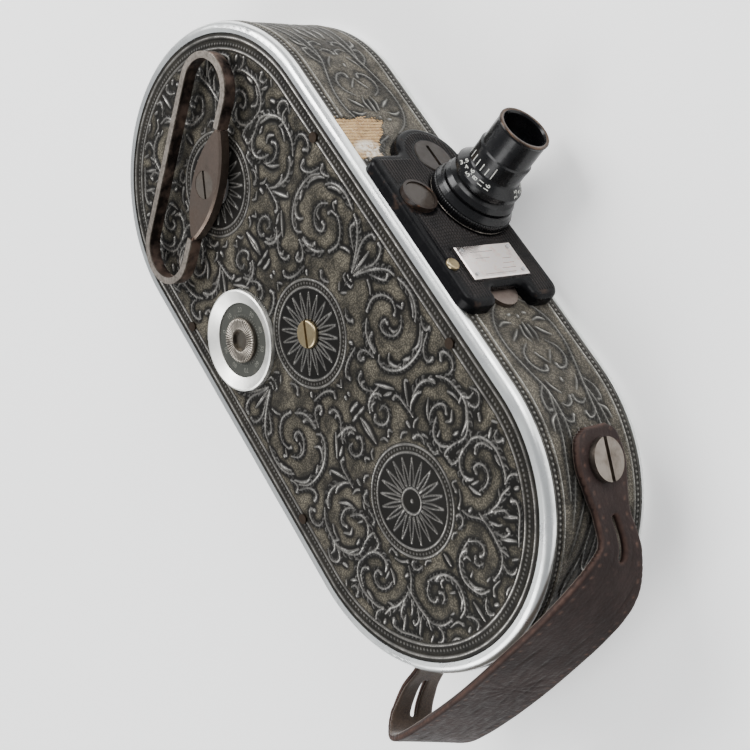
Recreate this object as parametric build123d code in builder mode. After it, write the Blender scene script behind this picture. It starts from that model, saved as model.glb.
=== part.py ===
from build123d import *
from math import atan2, cos, degrees, hypot, pi, radians, sin, sqrt
import os

os.makedirs("parts", exist_ok=True)

# Frame: the camera lies on its film door. Origin is the centre of the resting plane,
# +X points out of the lens, +Y to the key end, +Z out of the key side. Millimetres.

# ---- casing ----
BODY_RADIUS = 49.0          # half of the 98 mm width; each end is a half circle
END_CENTRE = 56.0           # distance of each end's arc centre from the middle
BODY_DEPTH = 40.0
COVER_THICKNESS = 0.8       # embossed face coverings
BAND_THICKNESS = 0.5        # embossed covering round the edge
RIM_WIDTH = 3.3             # polished rim between face covering and edge
RIM_HEIGHT = 2.3
WALL_RADIUS = BODY_RADIUS - BAND_THICKNESS
CAVITY_RADIUS = 46.5
PANEL_RADIUS = BODY_RADIUS - RIM_WIDTH
CEILING_Z = 38.0
FACE_Z = BODY_DEPTH - COVER_THICKNESS
SPLIT_Z = RIM_HEIGHT + 0.05
RUNNING = 0.05              # radial clearance of every running fit

# ---- places on the key side ----
KEY_CENTRE = (0.0, 58.0)
KEY_TILT = 22.0             # degrees from +X to the key's long direction
SPOOL_TOP = (0.0, END_CENTRE)
SPOOL_BOTTOM = (0.0, -END_CENTRE)

# ---- lens and finder axes, both along X: (y, z) ----
LENS_AXIS = (0.0, 14.4)
FINDER_AXIS = (2.4, 32.4)
SHUTTER_AXIS = (-8.0, 19.5)
PLUG_AXIS = (17.0, 15.6)
FRONT_X = BODY_RADIUS + 4.0  # outer face of the front plate

# ---- gear train: teeth, modules and layers ----
GREAT_TEETH, GREAT_MODULE = 96, 0.75
INTER_PINION_TEETH = 16
DIAL_TEETH = 30
FINE_MODULE = 0.5
INTER_WHEEL_TEETH = 40
SPROCKET_TEETH = 20
TRANSFER_TEETH = 48
FAST_TEETH = 12             # shutter drive pinion and governor pinion
IDLER_TEETH = 50
TAKEUP_TEETH = 80
BEVEL_TEETH = 12
PLATE_Z, PLATE_THICKNESS = 24.0, 1.5
FINE_LAYER = (25.7, 1.1)    # bottom and thickness of the fine-pitch wheels
GREAT_LAYER = (27.3, 1.5)
DRUM_BOTTOM, DRUM_TOP, DRUM_RADIUS = 29.0, 36.6, 37.5

# ---- strap ----
STRAP_THICKNESS = 2.2
STRAP_WIDTH = 23.0
STRAP_SCREW_ANGLE = 28.3    # degrees below the arc centre, at both edges
STRAP_SCREW_Z = 19.5


def stadium(radius, mode=Mode.ADD):
    """The camera's outline at a given radius."""
    SlotCenterToCenter(2 * END_CENTRE, 2 * radius, rotation=90, mode=mode)


def layer(z):
    return Plane.XY.offset(z)


def across(x, place):
    """Plane facing +X at height x, centred on (y, z)."""
    return Plane(origin=(x, place[0], place[1]), x_dir=(0, 1, 0), z_dir=(1, 0, 0))


def above(z, place):
    """Plane facing +Z at height z, centred on (x, y)."""
    return Plane(origin=(place[0], place[1], z))


def disc(plane, radius, height, mode=Mode.ADD):
    """Adds or cuts a round boss in the part being built."""
    with BuildSketch(plane) as profile:
        Circle(radius)
    extrude(profile.sketch, amount=height, mode=mode)


def block(plane, width, height, depth, mode=Mode.ADD):
    """Adds or cuts a rectangular block in the part being built."""
    with BuildSketch(plane) as profile:
        Rectangle(width, height)
    extrude(profile.sketch, amount=depth, mode=mode)


def save(name, builder):
    builder.part.label = name
    export_step(builder.part, "parts/" + name + ".step")


# ---- gears ----
def gear_points(teeth, module, phase):
    """Outline of a spur gear with straight-flanked teeth; phase is a tooth's direction."""
    pitch_radius = teeth * module / 2
    tip, root = pitch_radius + 0.7 * module, pitch_radius - 1.15 * module
    step = 2 * pi / teeth
    points = []
    for tooth in range(teeth):
        middle = phase + tooth * step
        for radius, turn in ((root, -0.27), (tip, -0.105), (tip, 0.105), (root, 0.27)):
            angle = middle + turn * step
            points.append((radius * cos(angle), radius * sin(angle)))
    return points


def gear(place, zone, teeth, module, phase):
    """Adds a spur gear to the part being built; zone is its bottom and thickness."""
    with BuildSketch(above(zone[0], place)) as profile:
        with BuildLine():
            Polyline(*gear_points(teeth, module, phase), close=True)
        make_face()
    extrude(profile.sketch, amount=zone[1])


def mesh_phase(driver, driver_teeth, driver_phase, driven, driven_teeth):
    """Phase that puts a gap of the driven gear on the tooth of its driver."""
    line = atan2(driven[1] - driver[1], driven[0] - driver[0])
    step = 2 * pi / driver_teeth
    lead = (driver_phase - line + step / 2) % step - step / 2
    return line + pi - lead * driver_teeth / driven_teeth + pi / driven_teeth


def pitch(teeth, module):
    return teeth * module / 2


def placed(centre, reach, angle):
    return (centre[0] + reach * cos(radians(angle)), centre[1] + reach * sin(radians(angle)))


def third_corner(first, second, reach_first, reach_second):
    """Point at given distances from two others, on the left of the line between them."""
    dx, dy = second[0] - first[0], second[1] - first[1]
    span = hypot(dx, dy)
    along = (span**2 + reach_first**2 - reach_second**2) / (2 * span)
    off = sqrt(reach_first**2 - along**2)
    return (first[0] + (along * dx - off * dy) / span, first[1] + (along * dy + off * dx) / span)


INTER_AT = placed(
    KEY_CENTRE, pitch(GREAT_TEETH, GREAT_MODULE) + pitch(INTER_PINION_TEETH, GREAT_MODULE), -82
)
DIAL_AT = placed(
    KEY_CENTRE, pitch(GREAT_TEETH, GREAT_MODULE) + pitch(DIAL_TEETH, GREAT_MODULE), -122.5
)
SPROCKET_AT = placed(
    INTER_AT, pitch(INTER_WHEEL_TEETH, FINE_MODULE) + pitch(SPROCKET_TEETH, FINE_MODULE), -82
)
SHUTTER_ARBOR_AT = (38.2, SHUTTER_AXIS[0])
TRANSFER_REACH = pitch(TRANSFER_TEETH, FINE_MODULE)
TRANSFER_AT = third_corner(
    SHUTTER_ARBOR_AT,
    SPROCKET_AT,
    TRANSFER_REACH + pitch(FAST_TEETH, FINE_MODULE),
    TRANSFER_REACH + pitch(SPROCKET_TEETH, FINE_MODULE),
)
GOVERNOR_AT = placed(TRANSFER_AT, TRANSFER_REACH + pitch(FAST_TEETH, FINE_MODULE), -66)
IDLER_REACH = pitch(IDLER_TEETH, FINE_MODULE)
IDLER_AT = third_corner(
    SPOOL_BOTTOM,
    TRANSFER_AT,
    IDLER_REACH + pitch(TAKEUP_TEETH, FINE_MODULE),
    IDLER_REACH + TRANSFER_REACH,
)

GREAT_PHASE = 0.0
INTER_PHASE = mesh_phase(KEY_CENTRE, GREAT_TEETH, GREAT_PHASE, INTER_AT, INTER_PINION_TEETH)
DIAL_PHASE = mesh_phase(KEY_CENTRE, GREAT_TEETH, GREAT_PHASE, DIAL_AT, DIAL_TEETH)
SPROCKET_PHASE = mesh_phase(
    INTER_AT, INTER_WHEEL_TEETH, INTER_PHASE, SPROCKET_AT, SPROCKET_TEETH
)
TRANSFER_PHASE = mesh_phase(
    SPROCKET_AT, SPROCKET_TEETH, SPROCKET_PHASE, TRANSFER_AT, TRANSFER_TEETH
)
SHUTTER_PHASE = mesh_phase(
    TRANSFER_AT, TRANSFER_TEETH, TRANSFER_PHASE, SHUTTER_ARBOR_AT, FAST_TEETH
)
GOVERNOR_PHASE = mesh_phase(
    TRANSFER_AT, TRANSFER_TEETH, TRANSFER_PHASE, GOVERNOR_AT, FAST_TEETH
)
IDLER_PHASE = mesh_phase(TRANSFER_AT, TRANSFER_TEETH, TRANSFER_PHASE, IDLER_AT, IDLER_TEETH)
TAKEUP_PHASE = mesh_phase(IDLER_AT, IDLER_TEETH, IDLER_PHASE, SPOOL_BOTTOM, TAKEUP_TEETH)

# ---- shared hole sizes ----
KEY_ARBOR_RADIUS = 4.0
DIAL_BEZEL_RADIUS = 15.3
DIAL_WINDOW_RADIUS = 11.3
PIVOT_RADIUS = 1.2
STRAP_SHANK_RADIUS = 2.5
BUSH_RADIUS, BUSH_Z = 5.0, 31.5
RIVET_PLACES = [(41.3, 36.5), (-41.3, 36.5), (41.3, -36.5), (-41.3, -36.5)]
PILLAR_PLACES = [(43, 50), (-43, 50), (32, -80), (-32, -80)]
FINDER_CELL_RADIUS = 4.8
LENS_SPIGOT_RADIUS = 8.2


def strap_screw_plane(side, radius):
    """Plane facing outwards on the bottom arc at one strap screw."""
    angle = radians(-STRAP_SCREW_ANGLE)
    outward = (side * cos(angle), sin(angle), 0)
    origin = (side * radius * cos(angle), radius * sin(angle) - END_CENTRE, STRAP_SCREW_Z)
    return Plane(origin=origin, x_dir=(0, 0, 1), z_dir=outward)


# ==== casing ====
with BuildPart() as main_casing:
    with BuildSketch(layer(SPLIT_Z)):
        stadium(WALL_RADIUS)
    extrude(amount=BODY_DEPTH - RIM_HEIGHT - SPLIT_Z)
    with BuildSketch(layer(BODY_DEPTH - RIM_HEIGHT)):
        stadium(BODY_RADIUS)
    extrude(amount=RIM_HEIGHT)
    fillet(main_casing.edges().group_by(Axis.Z)[-1], RIM_HEIGHT - 0.2)
    with BuildSketch(layer(FACE_Z)):
        stadium(PANEL_RADIUS)
    extrude(amount=COVER_THICKNESS, mode=Mode.SUBTRACT)
    with BuildSketch(layer(SPLIT_Z)):
        stadium(CAVITY_RADIUS)
    extrude(amount=CEILING_Z - SPLIT_Z, mode=Mode.SUBTRACT)
    disc(above(36.2, (0, 0)), 3.2, CEILING_Z - 36.2)
    disc(above(36.2, (0, 0)), 1.5, BODY_DEPTH - 36.2, Mode.SUBTRACT)
    disc(above(CEILING_Z, KEY_CENTRE), KEY_ARBOR_RADIUS + RUNNING, 3, Mode.SUBTRACT)
    disc(above(CEILING_Z, DIAL_AT), DIAL_WINDOW_RADIUS + 0.2, 3, Mode.SUBTRACT)
    for rivet_place in RIVET_PLACES:
        disc(above(CEILING_Z, rivet_place), 0.8, 3, Mode.SUBTRACT)
    disc(across(CAVITY_RADIUS - 1, LENS_AXIS), LENS_SPIGOT_RADIUS, 3, Mode.SUBTRACT)
    disc(across(CAVITY_RADIUS - 1, FINDER_AXIS), FINDER_CELL_RADIUS, 3, Mode.SUBTRACT)
    disc(across(-BODY_RADIUS, FINDER_AXIS), FINDER_CELL_RADIUS, 3, Mode.SUBTRACT)
    for side in (1, -1):
        disc(strap_screw_plane(side, 45), STRAP_SHANK_RADIUS, 6, Mode.SUBTRACT)
        block(above(3.5, (0, side * (END_CENTRE + CAVITY_RADIUS))), 5.4, 3.0, 1.4, Mode.SUBTRACT)
    bush_plane = Plane(
        origin=(0, -END_CENTRE - BODY_RADIUS, BUSH_Z), x_dir=(1, 0, 0), z_dir=(0, 1, 0)
    )
    disc(bush_plane, BUSH_RADIUS, 5, Mode.SUBTRACT)
save("main_casing", main_casing)

with BuildPart() as band_covering:
    with BuildSketch(layer(RIM_HEIGHT + 0.2)):
        stadium(BODY_RADIUS)
        stadium(WALL_RADIUS, Mode.SUBTRACT)
    extrude(amount=BODY_DEPTH - 2 * RIM_HEIGHT - 0.2)
    disc(across(CAVITY_RADIUS, LENS_AXIS), LENS_SPIGOT_RADIUS, 4, Mode.SUBTRACT)
    disc(across(CAVITY_RADIUS, FINDER_AXIS), FINDER_CELL_RADIUS, 4, Mode.SUBTRACT)
    disc(across(-BODY_RADIUS - 1, FINDER_AXIS), FINDER_CELL_RADIUS, 4, Mode.SUBTRACT)
    for side in (1, -1):
        disc(strap_screw_plane(side, 47), STRAP_SHANK_RADIUS, 4, Mode.SUBTRACT)
    disc(bush_plane, BUSH_RADIUS, 5, Mode.SUBTRACT)
save("band_covering", band_covering)

with BuildPart() as key_side_covering:
    with BuildSketch(layer(FACE_Z)):
        stadium(PANEL_RADIUS)
    extrude(amount=COVER_THICKNESS)
    disc(above(FACE_Z, KEY_CENTRE), KEY_ARBOR_RADIUS + RUNNING, 2, Mode.SUBTRACT)
    disc(above(FACE_Z, DIAL_AT), DIAL_BEZEL_RADIUS + 0.02, 2, Mode.SUBTRACT)
    disc(above(FACE_Z, (0, 0)), 1.5, 2, Mode.SUBTRACT)
    for rivet_place in RIVET_PLACES:
        disc(above(FACE_Z, rivet_place), 0.8, 2, Mode.SUBTRACT)
save("key_side_covering", key_side_covering)

with BuildPart() as face_rivets:
    for rivet_place in RIVET_PLACES:
        disc(above(CEILING_Z, rivet_place), 0.8, BODY_DEPTH - CEILING_Z + 0.1)
        disc(above(BODY_DEPTH, rivet_place), 1.5, 0.6)
save("face_rivets", face_rivets)

MEDALLION_SLOT_TURN = -35.0  # degrees from +Y, as the screw was left
with BuildPart() as medallion_screw:
    disc(above(36.2, (0, 0)), 1.5, BODY_DEPTH - 36.2 + 0.2)
    disc(above(BODY_DEPTH, (0, 0)), 4.1, 1.2)
    fillet(medallion_screw.faces().sort_by(Axis.Z)[-1].edges(), 0.6)
    slot_plane = above(BODY_DEPTH + 0.5, (0, 0)).rotated((0, 0, MEDALLION_SLOT_TURN))
    block(slot_plane, 0.9, 10, 1, Mode.SUBTRACT)
save("medallion_screw", medallion_screw)

with BuildPart() as tripod_bush:
    disc(bush_plane, BUSH_RADIUS, 11)
    disc(bush_plane, 2.55, 8, Mode.SUBTRACT)
save("tripod_bush", tripod_bush)

# ==== front plate and what is on it ====
NOTCH_CENTRE_Z, NOTCH_WIDTH, NOTCH_DEPTH = 21.0, 14.0, 5.6
PLATE_BOTTOM_Y, PLATE_TOP_Y = -34.0, 18.8
PLATE_LOW_Z, PLATE_HIGH_Z = 2.6, 38.9
LOBE_RADIUS = 11.5          # round lobe of the plate about the plug
PLUG_RADIUS = 6.2
RIVET_AXIS = (-20.6, 36.3)
PLATE_CORNER_RADIUS, PLATE_TIP_RADIUS, NOTCH_CORNER_RADIUS = 4.5, 3.2, 2.7
NOTCH_TOP_Y = PLATE_BOTTOM_Y + NOTCH_DEPTH
NOTCH_LOW_Z, NOTCH_HIGH_Z = NOTCH_CENTRE_Z - NOTCH_WIDTH / 2, NOTCH_CENTRE_Z + NOTCH_WIDTH / 2
PLATE_OUTLINE = [
    (PLATE_BOTTOM_Y, PLATE_LOW_Z + PLATE_CORNER_RADIUS),
    (0.0, PLATE_LOW_Z + PLATE_CORNER_RADIUS),
    (PLATE_TOP_Y, PLUG_AXIS[1]),
    (PLATE_TOP_Y, PLATE_HIGH_Z),
    (PLATE_BOTTOM_Y, PLATE_HIGH_Z),
    (PLATE_BOTTOM_Y, NOTCH_HIGH_Z),
    (NOTCH_TOP_Y, NOTCH_HIGH_Z),
    (NOTCH_TOP_Y, NOTCH_LOW_Z),
    (PLATE_BOTTOM_Y, NOTCH_LOW_Z),
]
PLATE_ROUNDED = [
    ((PLATE_TOP_Y, PLUG_AXIS[1] + LOBE_RADIUS), 2.5),
    ((PLATE_TOP_Y, PLATE_HIGH_Z), PLATE_TIP_RADIUS),
    ((PLATE_BOTTOM_Y, PLATE_HIGH_Z), PLATE_CORNER_RADIUS),
    ((PLATE_BOTTOM_Y, NOTCH_HIGH_Z), NOTCH_CORNER_RADIUS),
    ((NOTCH_TOP_Y, NOTCH_HIGH_Z), NOTCH_CORNER_RADIUS),
    ((NOTCH_TOP_Y, NOTCH_LOW_Z), NOTCH_CORNER_RADIUS),
    ((PLATE_BOTTOM_Y, NOTCH_LOW_Z), NOTCH_CORNER_RADIUS),
]
with BuildPart() as front_plate:
    with BuildSketch(Plane.YZ.offset(BODY_RADIUS)) as plate_profile:
        with Locations(PLUG_AXIS):
            Circle(LOBE_RADIUS)
        low_corner = (PLATE_BOTTOM_Y + PLATE_CORNER_RADIUS, PLATE_LOW_Z + PLATE_CORNER_RADIUS)
        with Locations(low_corner):
            Circle(PLATE_CORNER_RADIUS)
        make_hull()
        with BuildLine():
            Polyline(*PLATE_OUTLINE, close=True)
        make_face()
        for corner, corner_radius in PLATE_ROUNDED:
            nearest = plate_profile.vertices().sort_by_distance((*corner, 0))[0]
            fillet(nearest, corner_radius)
    extrude(amount=FRONT_X - BODY_RADIUS)
    fillet(front_plate.faces().sort_by(Axis.X)[-1].edges(), 1.6)
    disc(across(BODY_RADIUS - 1, LENS_AXIS), LENS_SPIGOT_RADIUS, 6, Mode.SUBTRACT)
    disc(across(BODY_RADIUS - 1, FINDER_AXIS), FINDER_CELL_RADIUS, 6, Mode.SUBTRACT)
    disc(across(BODY_RADIUS - 1, PLUG_AXIS), 3.0, 6, Mode.SUBTRACT)
    disc(across(FRONT_X - 2.0, PLUG_AXIS), PLUG_RADIUS + 0.05, 6, Mode.SUBTRACT)
    disc(across(BODY_RADIUS - 1, RIVET_AXIS), 1.0, 6, Mode.SUBTRACT)
    block(across(BODY_RADIUS, (-20.5, NOTCH_CENTRE_Z)), 17, 12.4, 1.6, Mode.SUBTRACT)
save("front_plate", front_plate)

NAMEPLATE_CENTRE, NAMEPLATE_SIZE = (-21.2, 22.1), (10.9, 21.6)
with BuildPart() as nameplate:
    block(across(FRONT_X, NAMEPLATE_CENTRE), *NAMEPLATE_SIZE, 1.2)
    chamfer(nameplate.faces().sort_by(Axis.X)[-1].edges(), 0.3)
save("nameplate", nameplate)

with BuildPart() as nameplate_pins:
    for side_y in (-1, 1):
        for side_z in (-1, 1):
            pin_y = NAMEPLATE_CENTRE[0] + side_y * (NAMEPLATE_SIZE[0] / 2 - 1.5)
            pin_z = NAMEPLATE_CENTRE[1] + side_z * (NAMEPLATE_SIZE[1] / 2 - 1.8)
            disc(across(FRONT_X + 1.2, (pin_y, pin_z)), 0.6, 0.3)
save("nameplate_pins", nameplate_pins)

with BuildPart() as plate_rivet:
    disc(across(BODY_RADIUS, RIVET_AXIS), 1.0, FRONT_X - BODY_RADIUS + 0.2)
    disc(across(FRONT_X, RIVET_AXIS), 1.9, 0.9)
    fillet(plate_rivet.faces().sort_by(Axis.X)[-1].edges(), 0.5)
save("plate_rivet", plate_rivet)

with BuildPart() as slotted_plug:
    disc(across(BODY_RADIUS, PLUG_AXIS), 3.0, FRONT_X - BODY_RADIUS)
    disc(across(FRONT_X - 2.0, PLUG_AXIS), PLUG_RADIUS, 2.35)
    chamfer(slotted_plug.faces().sort_by(Axis.X)[-1].edges(), 0.3)
    block(across(FRONT_X - 0.6, PLUG_AXIS), 8.0, 1.1, 1, Mode.SUBTRACT)
save("slotted_plug", slotted_plug)

# ---- view finder: a tube right through the casing, along X ----
FINDER_GLASS_RADIUS = 4.5
with BuildPart() as finder_front_ring:
    disc(across(44.6, FINDER_AXIS), FINDER_CELL_RADIUS - 0.01, FRONT_X - 44.6 + 0.2)
    disc(across(FRONT_X, FINDER_AXIS), 5.3, 1.6)
    disc(across(44.6, FINDER_AXIS), 2.7, 20, Mode.SUBTRACT)
    disc(across(FRONT_X + 0.2, FINDER_AXIS), FINDER_GLASS_RADIUS + 0.05, 20, Mode.SUBTRACT)
save("finder_front_ring", finder_front_ring)

with BuildPart() as finder_front_glass:
    disc(across(FRONT_X + 0.2, FINDER_AXIS), FINDER_GLASS_RADIUS, 1.0)
save("finder_front_glass", finder_front_glass)

with BuildPart() as finder_tube:
    disc(across(-46.0, FINDER_AXIS), 2.6, 46.0 + 46.0)
    disc(across(-46.0, FINDER_AXIS), 2.1, 46.0 + 46.0, Mode.SUBTRACT)
save("finder_tube", finder_tube)

EYE_PLANE = Plane(
    origin=(-44.6, FINDER_AXIS[0], FINDER_AXIS[1]), x_dir=(0, -1, 0), z_dir=(-1, 0, 0)
)
EYE_GLASS_SEAT = 3.9        # depth of the glass seat from the inner end of the cell
with BuildPart() as finder_eyepiece:
    disc(EYE_PLANE, FINDER_CELL_RADIUS - 0.01, BODY_RADIUS - 44.6 + 0.2)
    disc(EYE_PLANE.offset(BODY_RADIUS - 44.6), 5.4, 1.2)
    fillet(finder_eyepiece.faces().sort_by(Axis.X)[0].edges(), 0.8)
    disc(EYE_PLANE, 2.7, 20, Mode.SUBTRACT)
    disc(EYE_PLANE.offset(EYE_GLASS_SEAT), 3.6, 20, Mode.SUBTRACT)
save("finder_eyepiece", finder_eyepiece)

with BuildPart() as finder_eye_glass:
    disc(EYE_PLANE.offset(EYE_GLASS_SEAT), 3.55, 1.2)
save("finder_eye_glass", finder_eye_glass)


# ---- taking lens: turned pieces round an axis along X ----
LENS_PLANE = Plane(
    origin=(0, LENS_AXIS[0], LENS_AXIS[1]), x_dir=(1, 0, 0), z_dir=(0, -1, 0)
)
LENS_LINE = Axis((0, LENS_AXIS[0], LENS_AXIS[1]), (1, 0, 0))


def turned(points):
    """A ring or tube turned about the lens axis, from (x, radius) points."""
    with BuildSketch(LENS_PLANE) as profile:
        with BuildLine():
            Polyline(*points, close=True)
        make_face()
    revolve(profile.sketch, axis=LENS_LINE)


BARREL_END_X, HOOD_END_X, HOOD_BORE_RADIUS = 71.0, 81.0, 6.3
with BuildPart() as lens_barrel:
    turned(
        [
            (45.4, 5.2), (45.4, 8.15), (53.05, 8.15), (53.05, 10.2), (53.5, 10.2),
            (53.5, 11.8), (53.7, 12.0), (56.3, 12.0), (57.4, 11.3), (58.2, 11.0), (58.4, 10.3), (59.0, 10.3),
            (59.2, 10.9), (60.6, 10.2), (61.6, 9.0), (62.6, 9.0), (62.8, 10.1),
            (64.0, 10.1), (66.3, 7.9), (66.9, 7.8), (70.9, 7.8), (70.9, 6.4), (60.0, 5.2),
        ]
    )
save("lens_barrel", lens_barrel)

with BuildPart() as lens_front_ring:
    turned(
        [
            (66.5, 5.4), (66.5, 5.8), (BARREL_END_X, 6.32), (BARREL_END_X, 7.9), (72.0, 7.9),
            (72.4, 7.4), (80.0, 7.4), (80.4, 7.6), (HOOD_END_X, 7.5),
            (HOOD_END_X, HOOD_BORE_RADIUS + 0.3), (80.4, HOOD_BORE_RADIUS),
            (72.2, HOOD_BORE_RADIUS), (71.6, 5.4),
        ]
    )
save("lens_front_ring", lens_front_ring)


def lens_element(name, x, radius, bulge):
    """A glass disc centred on x, with two spherical faces domed by bulge."""
    sphere = (radius**2 + bulge**2) / (2 * abs(bulge))
    half_sag = sphere - sqrt(sphere**2 - radius**2 / 4)
    face = 0.8 + bulge
    middle = face - half_sag if bulge > 0 else face + half_sag
    with BuildPart() as element:
        with BuildSketch(LENS_PLANE):
            with BuildLine():
                Line((x - face, 0), (x + face, 0))
                ThreePointArc((x + face, 0), (x + middle, radius / 2), (x + 0.8, radius))
                Line((x + 0.8, radius), (x - 0.8, radius))
                ThreePointArc((x - 0.8, radius), (x - middle, radius / 2), (x - face, 0))
            make_face()
        revolve(axis=LENS_LINE)
    save(name, element)


lens_element("lens_front_element", 69.0, 5.35, 0.7)
lens_element("lens_middle_element", 62.5, 5.15, -0.3)
lens_element("lens_rear_element", 54.5, 5.15, 0.7)

# ---- start lever: a half-round thumb piece that slides along Y under the plate ----
with BuildPart() as start_lever:
    block(across(BODY_RADIUS + 0.1, (-20.5, NOTCH_CENTRE_Z)), 13.0, 10.6, 1.2)
    disc(across(BODY_RADIUS + 0.1, (-28.0, NOTCH_CENTRE_Z)), 5.3, 1.2)
save("start_lever", start_lever)

# ==== winding key ====
KEY_PLANE = Plane(
    origin=(KEY_CENTRE[0], KEY_CENTRE[1], 0),
    x_dir=(cos(radians(KEY_TILT)), sin(radians(KEY_TILT)), 0),
    z_dir=(0, 0, 1),
)
HUB_BOTTOM, HUB_TOP, HUB_HALF_LENGTH, HUB_HALF_WIDTH = 41.5, 44.9, 17.6, 6.2
HUB_ARC = 32.2              # radius of each long side of the lens-shaped hub
BAIL_BOTTOM, BAIL_TOP, BAIL_STRIP = 41.6, 45.6, 2.0
BAIL_PIVOT_Z = (BAIL_BOTTOM + BAIL_TOP) / 2
BAIL_SPREAD, BAIL_BEND = 52.0, 10.0
with BuildPart() as key_hub:
    with BuildSketch(KEY_PLANE.offset(HUB_BOTTOM)):
        with Locations((0, HUB_HALF_WIDTH - HUB_ARC)):
            Circle(HUB_ARC)
        with Locations((0, HUB_ARC - HUB_HALF_WIDTH)):
            Circle(HUB_ARC, mode=Mode.INTERSECT)
        Rectangle(2 * HUB_HALF_LENGTH, 20, mode=Mode.INTERSECT)
    extrude(amount=HUB_TOP - HUB_BOTTOM)
    chamfer(key_hub.faces().sort_by(Axis.Z)[-1].edges(), 0.6)
    disc(KEY_PLANE.offset(HUB_BOTTOM), 1.6, 4, Mode.SUBTRACT)
    disc(KEY_PLANE.offset(HUB_TOP - 1.7), 4.25, 4, Mode.SUBTRACT)
    for side in (1, -1):
        pin_plane = Plane(
            origin=KEY_PLANE.from_local_coords((side * 12.5, 0, BAIL_PIVOT_Z)),
            x_dir=(0, 0, 1),
            z_dir=KEY_PLANE.x_dir * side,
        )
        disc(pin_plane, 1.0 + RUNNING, 6, Mode.SUBTRACT)
save("key_hub", key_hub)

KEY_SLOT_TURN = -60.0       # degrees from the key's short direction
with BuildPart() as key_screw:
    disc(KEY_PLANE.offset(36.0), 1.6, HUB_TOP - 36.0 - 1.6)
    disc(KEY_PLANE.offset(HUB_TOP - 1.7), 4.2, 1.6)
    slot_plane = KEY_PLANE.offset(HUB_TOP - 0.7).rotated((0, 0, KEY_SLOT_TURN))
    block(slot_plane, 0.9, 10, 1, Mode.SUBTRACT)
save("key_screw", key_screw)

with BuildPart() as key_bail:
    with BuildSketch(KEY_PLANE.offset(BAIL_BOTTOM)):
        with Locations((0, BAIL_BEND)):
            SlotCenterToCenter(BAIL_SPREAD, 2 * BAIL_BEND + BAIL_STRIP)
            SlotCenterToCenter(BAIL_SPREAD, 2 * BAIL_BEND - BAIL_STRIP, mode=Mode.SUBTRACT)
        Rectangle(2 * HUB_HALF_LENGTH + 0.5, 3, mode=Mode.SUBTRACT)
    extrude(amount=BAIL_TOP - BAIL_BOTTOM)
    for side in (1, -1):
        pin_plane = Plane(
            origin=KEY_PLANE.from_local_coords((side * 12.9, 0, BAIL_PIVOT_Z)),
            x_dir=(0, 0, 1),
            z_dir=KEY_PLANE.x_dir * side,
        )
        disc(pin_plane, 1.0, 5.5)
save("key_bail", key_bail)

RATCHET_TEETH = 24
with BuildPart() as key_arbor:
    disc(above(26.4, KEY_CENTRE), KEY_ARBOR_RADIUS, HUB_BOTTOM - 26.4)
    disc(above(40.2 + 0.5, KEY_CENTRE), 6.5, HUB_BOTTOM - 40.7)
    with BuildSketch(above(DRUM_TOP + 0.15, KEY_CENTRE)):
        with BuildLine():
            ratchet = []
            for tooth in range(RATCHET_TEETH):
                start = 2 * pi * tooth / RATCHET_TEETH
                end = 2 * pi * (tooth + 0.85) / RATCHET_TEETH
                ratchet.append((9.0 * cos(start), 9.0 * sin(start)))
                ratchet.append((8.0 * cos(end), 8.0 * sin(end)))
            Polyline(*ratchet, close=True)
        make_face()
    extrude(amount=1.0)
    disc(above(36.0, KEY_CENTRE), 1.6, 10, Mode.SUBTRACT)
save("key_arbor", key_arbor)

CLICK_PIVOT = placed(KEY_CENTRE, 16.0, 200)
with BuildPart() as click_pawl:
    disc(above(DRUM_TOP + 0.15, CLICK_PIVOT), 2.0, 1.0)
    click_plane = Plane(
        origin=(CLICK_PIVOT[0], CLICK_PIVOT[1], DRUM_TOP + 0.15),
        x_dir=(cos(radians(53)), sin(radians(53)), 0),
        z_dir=(0, 0, 1),
    )
    with BuildSketch(click_plane):
        Polygon((0, -1.2), (0, 1.2), (9.6, 0.5), (9.6, -0.3), align=None)
    extrude(amount=1.0)
    disc(above(DRUM_TOP, CLICK_PIVOT), 0.8 + RUNNING, 3, Mode.SUBTRACT)
save("click_pawl", click_pawl)

with BuildPart() as click_stud:
    disc(above(DRUM_TOP + 0.1, CLICK_PIVOT), 0.8, CEILING_Z - DRUM_TOP - 0.1)
save("click_stud", click_stud)

# ==== mechanism ====
ARBORS = [INTER_AT, TRANSFER_AT, SHUTTER_ARBOR_AT, GOVERNOR_AT, IDLER_AT, DIAL_AT]
with BuildPart() as mechanism_plate:
    with BuildSketch(layer(PLATE_Z)):
        stadium(CAVITY_RADIUS - 0.1)
    extrude(amount=PLATE_THICKNESS)
    block(above(PLATE_Z, (45.0, SHUTTER_AXIS[0])), 4.6, 34, 3, Mode.SUBTRACT)
    for arbor_place in ARBORS:
        disc(above(PLATE_Z, arbor_place), PIVOT_RADIUS + RUNNING, 3, Mode.SUBTRACT)
    disc(above(PLATE_Z, SPROCKET_AT), 2.0 + RUNNING, 3, Mode.SUBTRACT)
    for spool_place in (SPOOL_TOP, SPOOL_BOTTOM):
        disc(above(PLATE_Z, spool_place), 3.0 + RUNNING, 3, Mode.SUBTRACT)
save("mechanism_plate", mechanism_plate)

with BuildPart() as plate_pillars:
    for pillar_place in PILLAR_PLACES:
        disc(above(PLATE_Z + PLATE_THICKNESS, pillar_place), 2.2, CEILING_Z - PLATE_Z - 1.5)
save("plate_pillars", plate_pillars)

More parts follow.
